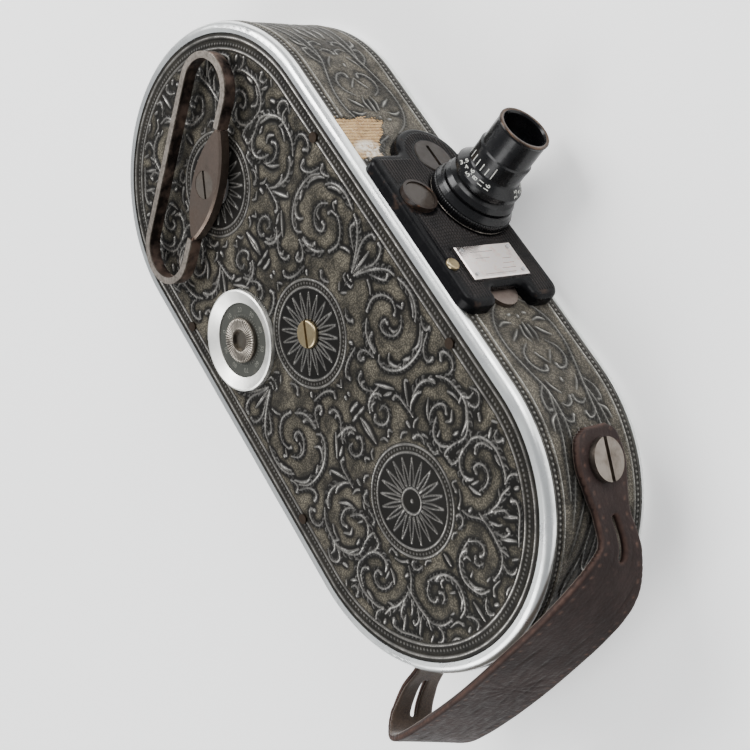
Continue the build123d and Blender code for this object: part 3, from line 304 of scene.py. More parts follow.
def woven_lining():
    s = Shade("woven_lining")
    thread = s.noise(0.45, 4)
    cloud = s.noise(2.6, 3)
    tone = s.blend(s.span(cloud, 0.35, 0.65), (0.30, 0.175, 0.072), (0.46, 0.30, 0.135))
    # Painted shade: the gaps between threads are darkened.
    tone = s.blend(s.attribute("gap"), tone, (0.055, 0.024, 0.010))
    smear = s.times(s.attribute("glue"), s.span(s.noise(1.1, 4), 0.38, 0.58))
    tone = s.blend(smear, tone, (0.66, 0.61, 0.52))
    s.colour(s.blend(s.span(thread, 0.55, 0.72), tone, (0.58, 0.46, 0.30)))
    s.set(Roughness=s.span(s.attribute("glue"), 0.0, 1.0, 0.85, 0.25))
    s.bump(thread, 0.12)
    return s.material


def painted(name, tone):
    s = Shade(name)
    s.colour(s.blend(s.span(s.noise(0.8, 3), 0.45, 0.7), tone, [c * 0.55 for c in tone]))
    s.set(Roughness=0.5)
    return s.material


def pale_floor():
    s = Shade("pale_floor")
    s.colour(s.blend(s.noise(60, 2), (0.93, 0.93, 0.92), (0.96, 0.96, 0.95)))
    s.set(Roughness=0.6, Emission_Color=(1.0, 1.0, 1.0, 1.0), Emission_Strength=0.45)
    return s.material


LOOKS = {
    "rim": polished_rim(),
    # Embossed looks: the recess colours are partly painted shade, and the ridge colours carry painted
    # glints.
    "face": embossed("embossed_face", (0.0050, 0.0046, 0.0040), (0.160, 0.142, 0.106), (0.60, 0.57, 0.52)),
    "band": embossed("embossed_band", (0.010, 0.0092, 0.008), (0.185, 0.164, 0.128), (0.48, 0.465, 0.42)),
    "plate": black_lacquer("black_plate", 0.27, (0.004, 0.004, 0.0045), (0.070, 0.042, 0.029), 0.6, 0.07),
    "ribs": ribbed_lacquer(),
    "plug": black_lacquer("browned_plug", 0.42, (0.020, 0.015, 0.012), (0.14, 0.090, 0.066), 0.9, 0.2),
    "finder": black_lacquer("browned_ring", 0.34, (0.020, 0.014, 0.011), (0.26, 0.12, 0.06), 0.8, 0.16),
    "lens": black_lacquer("black_lens", 0.24, (0.0045, 0.0045, 0.005), (0.06, 0.05, 0.045), 0.10, 0.24),
    "nickel": worn_metal("worn_nickel", (0.19, 0.155, 0.135), (0.085, 0.055, 0.042), 0.34, 5.0, 0.8),
    # Key bail: painted shade on the sides and a painted highlight on the top.
    "bail": tipped_metal("key_bail_metal", (0.042, 0.033, 0.030), (0.40, 0.35, 0.30), 45.30),
    "screw": worn_metal("screw_steel", (0.20, 0.175, 0.15), (0.085, 0.065, 0.05), 0.36, 4.0, 0.6),
    "key": worn_metal("key_hub_metal", (0.175, 0.138, 0.115), (0.085, 0.060, 0.047), 0.36, 6.0, 0.7),
    "knob": worn_metal("dial_knob_metal", (0.16, 0.145, 0.12), (0.060, 0.044, 0.036), 0.36, 5.0, 0.6),
    "teeth": toothed_metal(),
    "brass": worn_metal("aged_brass", (0.42, 0.34, 0.20), (0.17, 0.12, 0.065), 0.34, 3.0, 0.7),
    "rust": worn_metal("rusty_rivet", (0.060, 0.045, 0.034), (0.024, 0.017, 0.013), 0.45, 2.0, 0.7),
    "silver": worn_metal("nameplate_silver", (0.88, 0.80, 0.76), (0.54, 0.46, 0.43), 0.17, 6.0, 0.35),
    "bezel": worn_metal("bezel_silver", (0.97, 0.96, 0.91), (0.74, 0.72, 0.66), 0.42, 8.0, 0.2),
    "dial": black_lacquer("dial_green", 0.5, (0.040, 0.041, 0.035), (0.11, 0.10, 0.08), 0.6),
    "steel": worn_metal("plain_steel", (0.60, 0.60, 0.61), (0.42, 0.41, 0.40), 0.30, 9.0, 0.3),
    "black": black_lacquer("satin_black", 0.5, wear_share=0.2),
    "glass": clear_glass("window_glass", (0.86, 0.87, 0.84)),
    "finder_glass": black_lacquer("finder_window", 0.2, (0.034, 0.027, 0.022), (0.15, 0.115, 0.09), 0.9,
                                  0.14),
    "element": clear_glass("lens_glass", (0.70, 0.78, 0.86)),
    "lens_edge": worn_metal("lens_edge_metal", (0.30, 0.27, 0.24), (0.03, 0.028, 0.026), 0.35, 3.0, 0.9),
    "hood_edge": worn_metal("hood_edge_metal", (0.10, 0.062, 0.04), (0.010, 0.009, 0.009), 0.3, 3.0, 0.9),
    "paint": painted("white_paint", (0.66, 0.66, 0.60)),
    "figure": painted("dial_figure_paint", (0.13, 0.13, 0.11)),
    "engraving": painted("engraved_line", (0.055, 0.045, 0.04)),
    "leather": strap_leather(),
    "suede": suede(),
    "lining": woven_lining(),
    "floor": pale_floor(),
}

NODE_LOOKS = {
    "rim": "main_casing door_panel",
    "bezel": "dial_bezel",
    "plate": "front_plate",
    "plug": "slotted_plug",
    "finder": "finder_front_ring finder_eyepiece",
    "lens": "lens_barrel lens_front_ring",
    "nickel": "start_lever lock_disc",
    "bail": "key_bail",
    "screw": "key_screw strap_screws",
    "key": "key_hub",
    "knob": "dial_knob",
    "brass": (
        "medallion_screw plate_rivet tripod_bush finder_tube great_wheel intermediate_gear "
        "transfer_gear takeup_idler dial_gear governor_weights plate_pillars"
    ),
    "rust": "face_rivets",
    "silver": "nameplate",
    "dial": "dial_disc",
    "steel": (
        "nameplate_pins key_arbor click_pawl click_stud mechanism_plate mainspring sprocket_gear "
        "film_sprocket shutter_arbor shutter_shaft governor_arbor takeup_spindle supply_spindle "
        "gate_plate film_claw pressure_plate lock_bolt_top lock_bolt_bottom spring_drum"
    ),
    "black": "takeup_spool shutter_disc",
    "finder_glass": "finder_front_glass",
    "glass": "finder_eye_glass",
    "element": "lens_front_element lens_middle_element lens_rear_element",
    "face": "key_side_covering door_covering",
    "band": "band_covering",
    "leather": "hand_strap",
}
for look, names in NODE_LOOKS.items():
    for name in names.split():
        NODES[name].data.materials.clear()
        NODES[name].data.materials.append(LOOKS[look])


# ==== camera, light and floor ====
def add_object(name, data):
    made = bpy.data.objects.new(name, data)
    bpy.context.scene.collection.objects.link(made)
    return made


def make_camera():
    data = bpy.data.cameras.new("camera")
    data.lens = 65.97
    data.sensor_width = 36.0
    data.clip_start = 0.01
    camera = add_object("camera", data)
    right = Vector((0.48452942, -0.49237413, -0.72304838))
    down = Vector((-0.60720962, -0.7842971, 0.12717915))
    ahead = Vector((-0.62970447, 0.3774199, -0.67898933))
    turn = Matrix((right, -down, -ahead)).transposed().to_4x4()
    camera.matrix_world = Matrix.Translation((0.247656, -0.165583, 0.292726)) @ turn
    bpy.context.scene.camera = camera


def area_light(name, place, target, size, power):
    data = bpy.data.lights.new(name, "AREA")
    data.shape = "RECTANGLE"
    data.size, data.size_y = size
    data.energy = power
    light = add_object(name, data)
    light.location = place
    light.rotation_mode = "QUATERNION"
    light.rotation_quaternion = (Vector(target) - Vector(place)).to_track_quat("-Z", "Y")


def make_floor():
    data = bpy.data.meshes.new("floor")
    reach = 4.0
    corners = [(-reach, -reach, 0), (reach, -reach, 0), (reach, reach, 0), (-reach, reach, 0)]
    data.from_pydata(corners, [], [(0, 1, 2, 3)])
    data.materials.append(LOOKS["floor"])
    floor = add_object("floor", data)
    floor.location.z = -0.0002


make_camera()
make_floor()
world = bpy.data.worlds.new("studio")
world.use_nodes = True
sky = world.node_tree.nodes["Background"].inputs
sky["Color"].default_value = (0.90, 0.93, 0.97, 1)
sky["Strength"].default_value = 0.55
bpy.context.scene.world = world
area_light("key_light", (0.10, 0.75, 0.75), (0, 0, 0.03), (0.7, 0.5), 14)
area_light("fill_light", (-0.6, -0.3, 0.7), (0, 0, 0.02), (0.6, 0.6), 7)
area_light("side_light", (0.9, 0.15, 0.35), (0, 0, 0.02), (0.5, 0.6), 7)


# ==== embossing, drawn as strokes on height maps ====
STROKE_SPACING = 0.2


def catmull_rom(padded, count_for):
    """Curve through all but the first and last point; count_for(b, c) gives the steps from b to c."""
    samples = []
    for a, b, c, d in zip(padded, padded[1:], padded[2:], padded[3:]):
        count = count_for(b, c)
        t = np.arange(count)[:, None] / count
        samples.append(b + 0.5 * t * (c - a) + t**2 * (a - 2.5 * b + 2 * c - 0.5 * d)
                       + t**3 * (-0.5 * a + 1.5 * b - 1.5 * c + 0.5 * d))
    return np.vstack([*samples, padded[-2:-1]])


def smooth_line(points):
    p = np.array(points, float)
    padded = np.vstack([2 * p[0] - p[1], p, 2 * p[-1] - p[-2]])
    return catmull_rom(padded, lambda b, c: max(2, int(np.linalg.norm(c - b) / STROKE_SPACING)))


class Relief:
    """Ridge heights, 0 to 1, on a raster that covers x0..x1 and y0..y1."""

    def __init__(self, x0, x1, y0, y1, step=0.15):
        self.x0, self.y0, self.step = x0, y0, step
        self.columns = int(round((x1 - x0) / step)) + 1
        self.rows = int(round((y1 - y0) / step)) + 1
        self.height = np.zeros((self.rows, self.columns))

    def dab(self, x, y, radius, height):
        reach = int(radius / self.step) + 1
        i, j = int(round((y - self.y0) / self.step)), int(round((x - self.x0) / self.step))
        i0, i1 = max(i - reach, 0), min(i + reach + 1, self.rows)
        j0, j1 = max(j - reach, 0), min(j + reach + 1, self.columns)
        if i0 >= i1 or j0 >= j1:
            return
        ys = self.y0 + np.arange(i0, i1)[:, None] * self.step - y
        xs = self.x0 + np.arange(j0, j1)[None, :] * self.step - x
        share = np.clip(np.hypot(xs, ys) / radius, 0, 1)
        window = self.height[i0:i1, j0:j1]
        np.maximum(window, height * (0.5 + 0.5 * np.cos(np.pi * share)), out=window)

    def line(self, points, start, middle, end, height=1.0, bulb=0.0):
        """A tapered ridge with its radius at the start, middle and end, and a round end."""
        curve = smooth_line(points)
        share = np.linspace(0, 1, len(curve))
        radius = np.interp(share, [0, 0.5, 1], [start, middle, end])
        for (x, y), r in zip(curve, radius):
            self.dab(x, y, r, height)
        if bulb:
            self.dab(*curve[-1], bulb, height)
        return curve

    def barbs(self, curve, side, length, gap=2.3, skip=0.12, height=0.8):
        """Short curved leaf tips along one side of a curve."""
        steps = np.linalg.norm(np.diff(curve, axis=0), axis=1)
        run = np.concatenate([[0], np.cumsum(steps)])
        for place in np.arange(run[-1] * skip, run[-1] * (1 - skip), gap):
            k = int(np.searchsorted(run, place))
            k = min(max(k, 1), len(curve) - 2)
            ahead = curve[k + 1] - curve[k - 1]
            ahead /= np.linalg.norm(ahead) + 1e-9
            out = np.array([-ahead[1], ahead[0]]) * side
            root = curve[k] + out * 0.25
            tip = root + ahead * length * 0.75 + out * length * 0.62
            bend = root + ahead * length * 0.2 + out * length * 0.5
            self.line([root, bend, tip], 0.30, 0.34, 0.20, height)

    def sample(self, x, y):
        fx = np.clip((x - self.x0) / self.step, 0, self.columns - 1.001)
        fy = np.clip((y - self.y0) / self.step, 0, self.rows - 1.001)
        j, i = fx.astype(int), fy.astype(int)
        u, v = fx - j, fy - i
        h = self.height
        return ((h[i, j] * (1 - u) + h[i, j + 1] * u) * (1 - v)
                + (h[i + 1, j] * (1 - u) + h[i + 1, j + 1] * u) * v)


def blurred(values, reach):
    """Smooths a raster with a box of reach cells each way, three times."""
    for _ in range(3):
        for axis in (0, 1):
            pad = [(0, 0), (0, 0)]
            pad[axis] = (reach + 1, reach)
            total = np.cumsum(np.pad(values, pad, mode="edge"), axis=axis)
            size = 2 * reach + 1
            values = (np.take(total, range(size, total.shape[axis]), axis)
                      - np.take(total, range(0, total.shape[axis] - size), axis)) / size
    return values


def read_strokes(text):
    """Pairs of kind and points from lines that hold a kind and then its points as x,y."""
    strokes = []
    for line in text.strip().splitlines():
        if not line.startswith("#"):
            kind, *points = line.split()
            strokes.append((kind, [tuple(map(float, point.split(","))) for point in points]))
    return strokes


STYLES = {                  # radius at start, middle, end; end bulb; barb side and length
    "stem": (0.36, 0.44, 0.36, 0.0, 0, 0),
    "scroll": (0.42, 0.60, 0.44, 0.0, 1, 1.8),
    "scroll_right": (0.42, 0.60, 0.44, 0.0, -1, 1.8),
    "leaf": (0.32, 0.80, 0.36, 0.0, 0, 0),
    "hook": (0.32, 0.46, 0.50, 0.84, 0, 0),
    "tick": (0.44, 0.52, 0.28, 0.0, 0, 0),
    "bud": (0.66, 0.82, 0.66, 0.0, 0, 0),
}
# Strokes of the scrollwork in one quarter of a face, x to the long edge and y from the
# middle medallion (0) to the end (-102). STYLES gives the kinds.
FACE_STROKES = read_strokes("""
# palmette and stem beside the middle medallion
bud 21.6,0.3 22.6,0.3
tick 21.2,0.9 19.6,1.4 18.4,0.6
tick 22.4,-0.6 22.8,-2 24,-2.1
tick 24,-0.2 24.4,-1.3
leaf 26.5,0 30,0 35.2,0
hook 26,-0.4 30,-1.8 34,-3.4 37,-3.5 39.3,-2.4 39.4,-1
scroll 26,-0.6 30,-2.6 34,-5.2 37,-8.2 38,-10.8
hook 31,-4.6 33.4,-8.3 34.8,-9.5 36.2,-9.1
hook 17,-4.8 15.7,-6.4 15.6,-8 16.7,-9
tick 18.8,-0.6 20.4,-2
tick 29.3,-5 28.6,-7 27.4,-8.5
# large open scroll below it
hook 32.6,-15.8 32.3,-13.8 30.4,-11.2 27,-9.7 23.2,-10.7
hook 32.5,-15.4 31.9,-17.6 30.6,-18.2
hook 33,-17 34,-18.7 35,-18.2
hook 32.4,-20.2 30,-22.2 27.2,-22.4 24.8,-20.6 24,-18.2 25,-16.6 26.8,-16.8 26.9,-18.1
tick 26.6,-19.6 27,-21.2 28.6,-22
scroll_right 21.6,-12.2 19,-14.4 17.7,-17.2 17.3,-20.6
hook 17.9,-20.6 17.9,-18.4 18.9,-16.5 20.3,-16.2
scroll 18.4,-22.2 16.9,-23.8 17.7,-26.6 20.4,-29.1 23.8,-30.6 28,-31.1 32.4,-30.4 35.6,-28.1
leaf 22.6,-29.8 20.5,-27.6 20.2,-25.6 21.8,-24.3
leaf 24.6,-28.9 27,-30.1
leaf 29.2,-29.2 31.6,-29.5 34.2,-28.3 36.4,-26
scroll_right 38.5,-12.2 39.3,-16 39,-19.8 37.4,-22.8 35.4,-24.4
leaf 38.7,-18.4 37.2,-21.4 35.6,-23.2
hook 38,-24.8 36.8,-26.6 36.7,-28.4 38.2,-28.9
hook 36.6,-29.4 33.2,-31 31.4,-33.4 31.7,-35 33.4,-35.3
# ornaments between the medallions, along the middle
hook 12.2,-14.8 8,-15.4 5.2,-16.6 3.8,-18.3 4.3,-19.6
bud 11.6,-12.4 12.1,-13.2
hook 16.2,-21.3 15,-18.2 13.2,-16.8 11.5,-17.2 11.4,-18.6 12.8,-19
hook 9.2,-27.6 7.4,-25.8 6.7,-23.5 7.4,-21.6 9.2,-21.1
tick 6.9,-24.4 7.6,-23.4 8.8,-23.8
tick 1.2,-17.6 0,-19.2
bud 0.9,-22.6 0.9,-22
bud 0,-26 1.8,-26.2
leaf 0,-28.5 3.2,-28.6
leaf 0,-30 0.5,-33.4 0,-38.6
leaf 11.4,-26.8 13.8,-29.6 16.2,-32.2
leaf 12,-31.2 14.8,-32.4
scroll_right 4.2,-31.2 5.4,-29.3 8.2,-28.2 10.2,-29.2 11,-30.6
tick 8.6,-28.2 12,-28
tick 5.4,-31.4 6.4,-30.2 7.8,-30.4
hook 7.8,-33 9.6,-32.9 10.4,-34.6 9.4,-36.4 7,-37 4.8,-35.8 4,-33.8 5.2,-33
hook 16.8,-42 16.6,-38.4 16.3,-35.5 15.4,-33.8 14.2,-33.9
leaf 17.4,-38.8 19.6,-35.2 21.2,-33.2 22,-33.9
# upper scroll beside the lower medallion
leaf 17.2,-40.2 19.2,-38.8 22,-38.3 23.9,-39
scroll 20.4,-38 24.4,-37.1 27.6,-38 29.6,-40.4
leaf 28.6,-38 29.8,-40.2
scroll 31.2,-39.4 33.6,-42.3 34.6,-46 34.8,-49.4 33.8,-52.2 31.4,-55.2 28.5,-56.8 25.4,-56.6
leaf 33.8,-51.6 31.4,-54.4 27.6,-55.8
hook 27.4,-56.8 23.2,-55.8 20.3,-55.6 19,-56.2 19.3,-57.2
leaf 24.8,-41.8 22.2,-43.9 20.9,-45.8
scroll_right 23.5,-47.2 20.9,-48.5 19.2,-50.6 19.5,-53.4 21.6,-55.2
tick 20.4,-51 22.2,-50.4
hook 20.6,-46.6 22.4,-45.2 24.6,-44.6 27,-45.3 28.2,-47 27.2,-48.5
leaf 25.4,-50 27.3,-50.8 29.4,-49.2
tick 31.6,-44.8 32.6,-46.6 33,-48.8
tick 32.8,-49.3 34.9,-48.4
leaf 25.2,-54.1 27.2,-54.5
hook 34.8,-41.8 37.2,-41.6 38.6,-39.8 38.2,-37.2 36.8,-36 35.5,-37.4
hook 38.6,-48.6 39.9,-51.4 38.4,-53.4 36.4,-53.4 35.2,-51.7
tick 34.8,-48.6 36.4,-50.3 38.6,-50.4
bud 36.2,-55.4 35.4,-56.8
# lower scroll beside the lower medallion
hook 27,-58.6 23.4,-59.4 21.2,-59.7 19.4,-59.2 19.2,-58.2
scroll_right 25.4,-58.6 22.6,-60 20.9,-62.4 20.5,-65.4
leaf 20.6,-63.8 21.4,-65.6 22.9,-66.4
leaf 20.4,-67 21,-69.2 22.2,-70.8
scroll 27,-58.8 30,-58.6 32.6,-60.2 34.2,-63.2 34.5,-66.6 32.9,-71.4 31,-73.4
hook 33.6,-64.4 32,-61.6 29.8,-60.7 28.2,-61.9
leaf 33.2,-66.2 32.9,-69
hook 22.4,-69.8 25.2,-70.1 27.6,-69 28.4,-66.7 27.2,-64.6 25.2,-64.4 24.8,-65.8
tick 21.6,-67.2 24,-67.8
leaf 34.8,-61.8 37,-60.5
tick 38.6,-59.4 39.8,-60.8
hook 38.3,-62 36.6,-62.6 36.4,-64.3 38.2,-65
# leaves round the lower medallion
hook 16,-50 15.9,-52.4 16.3,-53.8 17.4,-54
hook 15,-49.6 15.6,-48 14.6,-46.3 12.9,-46
tick 16.2,-47.4 17.2,-49.2
bud 13.8,-41.6 13.8,-43
tick 15,-44 16.4,-43.2 18.2,-43.3
tick 9,-43.2 10.4,-42.6 12,-43.6
tick 4.2,-40.9 3.4,-39.4 2,-39
tick 5.4,-40.2 6.6,-39 7.4,-40.2
hook 17.6,-63.2 16,-63 15.5,-65.2
hook 16.8,-65.6 15.5,-67.6 13.3,-69
# the end of the face: spray, corner leaves and the last scroll
hook 9.3,-73 11.2,-72.9 12.4,-71.9 12.2,-70.4 10.4,-69.9
bud 15.8,-71.6 16.8,-71.6
tick 5.4,-73.6 6.8,-72.8 8.2,-73.4
stem 13.8,-70.2 14.9,-72.6 17.4,-75 18.4,-76.6
scroll 18.3,-74 18.5,-80 18,-84.4 18.9,-87.4
hook 19.2,-75.2 23,-76.5 26,-78.4 26.4,-80.6
tick 19.6,-77.6 21.4,-79.8 22.8,-80.5
hook 19.6,-80.8 21,-83 23.4,-83.4 23.3,-82.4
leaf 19.8,-83 23.6,-86
leaf 24.6,-79.4 28.4,-82
scroll_right 21.2,-75.8 25.4,-75.8 28.4,-74.9 31.6,-74.9
tick 27,-75.2 28.1,-73.2
hook 31,-73.6 33.8,-72.8 36,-74.2 35.4,-75.6
bud 32.8,-76.2 33.8,-76.6
hook 17.8,-84.2 17,-86.6 14,-88.8 10.4,-89.4
scroll 10.6,-77 7.6,-77.6 4,-79 1.8,-82 1.5,-85.4 3.6,-89.4 7,-90.6
leaf 5.6,-78.2 8.2,-78.4
hook 10.2,-77.4 12.6,-79 13.3,-81.2 12.2,-82.6 10.7,-82.4
tick 5,-79.8 6.4,-79.9 7,-81.4
hook 10.3,-84.3 8.4,-83.8 8,-82.4 9,-81.6
leaf 2.6,-85 3.2,-87.6 5.2,-89
tick 4,-84.5 5.6,-83.8
tick 8.2,-88.4 9.6,-88.2
hook 4.8,-91.5 3,-93 2.4,-95 3.8,-96
hook 12,-90.6 9,-90.8 7.6,-92.4
bud 6,-94.4 7,-94.8
hook 15.9,-88.2 15.8,-90.6 17.2,-91.8 19,-91.6
tick 19.4,-89 21.4,-89.9
leaf 0,-75 0,-78.6
leaf 0,-90 0,-95.6
hook 23.6,-87.6 26.6,-84.6 29.6,-81.8 30.8,-79 29.6,-77.8
tick 10.6,-95.2 12.6,-93.8 14.8,-93.8
""")


def draw_strokes(relief, strokes):
    for kind, points in strokes:
        start, middle, end, bulb, side, length = STYLES[kind]
        curve = relief.line(points, start, middle, end, bulb=bulb)
        if side:
            relief.barbs(curve, side, length)
        if kind in ("hook", "scroll", "scroll_right", "stem") and len(points) > 3:
            for fringe in (-1, 1):
                relief.barbs(curve, fringe, 1.0, gap=1.45, skip=0.06, height=0.42)


def stadium_reach(x, y):
    """Distance from the middle line between the two end centres."""
    return np.hypot(x, np.maximum(np.abs(y) - END_CENTRE, 0))


def along_stadium(x, y, radius):
    """Distance along the outline of the given radius, for rows of beads."""
    straight = np.clip(y, -END_CENTRE, END_CENTRE)
    turn = np.where(np.abs(y) > END_CENTRE, np.arctan2(np.abs(y) - END_CENTRE, np.abs(x)), 0)
    return straight + np.sign(y) * turn * radius


def crest(distance, radius):
    return 0.5 + 0.5 * np.cos(np.pi * np.clip(np.abs(distance) / radius, 0, 1))


MEDALLION_RADIUS = 16.1
OUTER_RING, BEAD_RING, INNER_RING = 15.5, 14.45, 13.3
RAYS, RAY_START, RAY_END, RAY_HALF_WIDTH = 20, 4.2, 12.0, 0.62
BEAD_HEIGHT = 0.72          # share of the full relief
RING_BEAD_PITCH, BORDER_BEAD_PITCH, BAND_BEAD_PITCH = 1.26, 1.28, 1.5
BORDER_START, BORDER_BEADS = 40.3, 42.35            # distances from the face's middle line
BORDER_LINES = ((41.0, 0.50), (44.3, 0.55))         # distance and half width


def medallion(x, y, centre, hub):
    """Rings, beads and pointed rays of one medallion; hub adds its small middle ring."""
    dx, dy = x - centre[0], y - centre[1]
    r, angle = np.hypot(dx, dy), np.arctan2(dy, dx)
    h = np.maximum(crest(r - OUTER_RING, 0.45), crest(r - INNER_RING, 0.42))
    bead = (angle * BEAD_RING / RING_BEAD_PITCH) % 1 - 0.5
    h = np.maximum(h, BEAD_HEIGHT * crest(np.hypot(bead * RING_BEAD_PITCH, r - BEAD_RING), 0.55))
    ray = (angle * RAYS / (2 * np.pi)) % 1 - 0.5
    off = np.abs(ray) * 2 * np.pi * r / RAYS
    share = np.clip((r - 4.4) / 7.6, 0, 1)
    edge = RAY_HALF_WIDTH * np.sin(np.pi * np.clip(0.28 + 0.72 * share, 0, 1))
    inside = (r > RAY_START) & (r < RAY_END)
    h = np.maximum(h, np.where(inside, 0.9 * crest(off - edge, 0.33), 0))
    if hub:
        h = np.maximum(h, crest(r - 3.6, 0.5))
        h = np.maximum(h, crest(r, 0.9))
    return r, h


def face_relief():
    """Height and open-ground functions of x, y for one whole face."""
    quarter, pillow = Relief(0, 45, -102, 2), Relief(0, 45, -102, 2)
    draw_strokes(quarter, FACE_STROKES)
    # pillow: open ground away from the strokes is raised; low ground near the strokes is coloured as dark
    # recess, partly painted shade.
    pillow.height = np.clip(1.22 - blurred(quarter.height, 6) * 10.0, 0, 1)

    def relief(x, y):
        qx, qy = np.abs(x), -np.abs(y)
        h, ground = quarter.sample(qx, qy), pillow.sample(qx, qy)
        reach = stadium_reach(x, y)
        for centre in MEDALLIONS:
            r, own = medallion(x, y, centre, centre[1] != 0)
            within = r < MEDALLION_RADIUS
            h = np.where(within, own, h)
            ground = np.where(within, np.where(r > INNER_RING, 0.12, 0.0), ground)
        border = reach > BORDER_START
        bead = (along_stadium(x, y, BORDER_BEADS) / BORDER_BEAD_PITCH) % 1 - 0.5
        rim = BEAD_HEIGHT * crest(np.hypot(bead * BORDER_BEAD_PITCH, reach - BORDER_BEADS), 0.58)
        for line, half_width in BORDER_LINES:
            rim = np.maximum(rim, crest(reach - line, half_width))
        h = np.where(border, rim, h)
        ground = np.where(border, 0.15, ground)
        return h, ground

    return relief


# ==== meshes from height maps ====
def new_piece(name, verts, faces, look, body, replaced=(), smooth=True):
    data = bpy.data.meshes.new(name)
    data.from_pydata(verts, [], faces)
    data.materials.append(LOOKS[look])
    data.validate()
    if smooth:
        data.polygons.foreach_set("use_smooth", np.ones(len(data.polygons), bool))
    piece = add_object(name, data)
    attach(piece, body)
    if replaced:
        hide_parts(*replaced)
    return piece


def add_attribute(piece, name, values):
    made = piece.data.attributes.new(name, "FLOAT", "POINT")
    full = np.zeros(len(piece.data.vertices), np.float32)
    full[: len(values)] = values
    made.data.foreach_set("value", full)


def grid_quads(rows, columns):
    """Point numbers of a grid and its quads."""
    index = np.arange(rows * columns).reshape(rows, columns)
    corners = [index[:-1, :-1], index[:-1, 1:], index[1:, 1:], index[1:, :-1]]
    return index, np.stack(corners, -1).reshape(-1, 4)


def clipped_grid(us, vs, inside):
    """Grid points and quads where inside(u, v) is positive; edge points slide onto its zero line."""
    u, v = (a.ravel() for a in np.meshgrid(us, vs))
    step = us[1] - us[0]
    depth = inside(u, v)
    near = (depth < 0) & (depth > -0.8 * step)
    nudge = 0.01
    for _ in range(3):
        gu = (inside(u + nudge, v) - inside(u - nudge, v)) / (2 * nudge)
        gv = (inside(u, v + nudge) - inside(u, v - nudge)) / (2 * nudge)
        size = np.maximum(gu**2 + gv**2, 0.2)
        now = inside(u, v)
        u = np.where(near, u - now * gu / size, u)
        v = np.where(near, v - now * gv / size, v)
    keep = (depth >= 0) | near
    quads = grid_quads(len(vs), len(us))[1]
    quads = quads[keep[quads].all(1)]
    used = np.unique(quads)
    renumber = np.full(len(keep), -1)
    renumber[used] = np.arange(len(used))
    return u[used], v[used], renumber[quads]


def close_sheet(piece, axis, level):
    """Makes an open sheet a closed solid with straight sides down to a flat level of one axis."""
    work = bmesh.new()
    work.from_mesh(piece.data)
    rim = [e for e in work.edges if len(e.link_faces) == 1]
    made = bmesh.ops.extrude_edge_only(work, edges=rim)["geom"]
    low = {g for g in made if isinstance(g, bmesh.types.BMVert)}
    for vert in low:
        vert.co[axis] = level
    bottom = [g for g in made if isinstance(g, bmesh.types.BMEdge) and low.issuperset(g.verts)]
    bmesh.ops.triangle_fill(work, edges=bottom, use_beauty=False, use_dissolve=False)
    bmesh.ops.recalc_face_normals(work, faces=work.faces)
    if axis == 2:
        for face in work.faces:
            if len(face.verts) == 3:
                face.smooth = False
    work.to_mesh(piece.data)
    work.free()


FACE_STEP = 0.3
EMBOSS = 0.44               # height of the ridges


def face_covering(name, relief, upper, key_side):
    """Half of a face covering, above or below the middle line; the door's faces down."""
    holes = [((0, 0), LOCK_RADIUS)]
    if key_side:
        holes = [(KEY_CENTRE, 4.1), (DIAL_CENTRE, DIAL_RADIUS), ((0, 0), 1.55)]
        holes += [(place, 0.85) for place in RIVETS]

    def from_edge(x, y):
        depth = PANEL_RADIUS - stadium_reach(x, y)
        for (cx, cy), radius in holes:
            depth = np.minimum(depth, np.hypot(x - cx, y - cy) - radius)
        return depth

    def inside(x, y):
        return np.minimum(from_edge(x, y), y if upper else -y)

    us = np.arange(-154, 155) * FACE_STEP
    vs = np.arange(0, 341) * FACE_STEP
    x, y, quads = clipped_grid(us, vs if upper else -vs[::-1], inside)
    ridge, ground = relief(x, y)
    edge = np.clip(from_edge(x, y) / 0.25, 0, 1)
    lift = (ridge + 0.30 * ground) * EMBOSS * edge
    if key_side:
        z = FACE_TOP - 0.25 + lift
    else:
        z = 0.40 - lift
        quads = quads[:, ::-1]
    piece = new_piece(name, np.stack([x, y, z], 1) * MM, quads.tolist(), "face",
                      "casing" if key_side else "door",
                      ["key_side_covering" if key_side else "door_covering"])
    # ridge and ground also drive the embossed material's painted glints and painted shade.
    add_attribute(piece, "ridge", ridge * edge)
    add_attribute(piece, "ground", ground * edge)
    close_sheet(piece, 2, (FACE_TOP - 0.8 if key_side else 0.8) * MM)


pattern = face_relief()
for half, upper in (("key_end", True), ("strap_end", False)):
    face_covering("key_side_covering_" + half, pattern, upper, True)
    face_covering("door_covering_" + half, pattern, upper, False)


# ==== embossed band round the edge ====
ARC = math.pi * BODY_RADIUS
LOOP = 4 * END_CENTRE + 2 * ARC
BAND_MIDDLE = 20.0
BAND_BASE = 48.78
TORN_OUTLINE = ((21.0, 37.9), (36.2, 37.9), (36.6, 28.0), (36.0, 19.2), (31.8, 22.2), (27.0, 26.5),
                (21.0, 29.5))

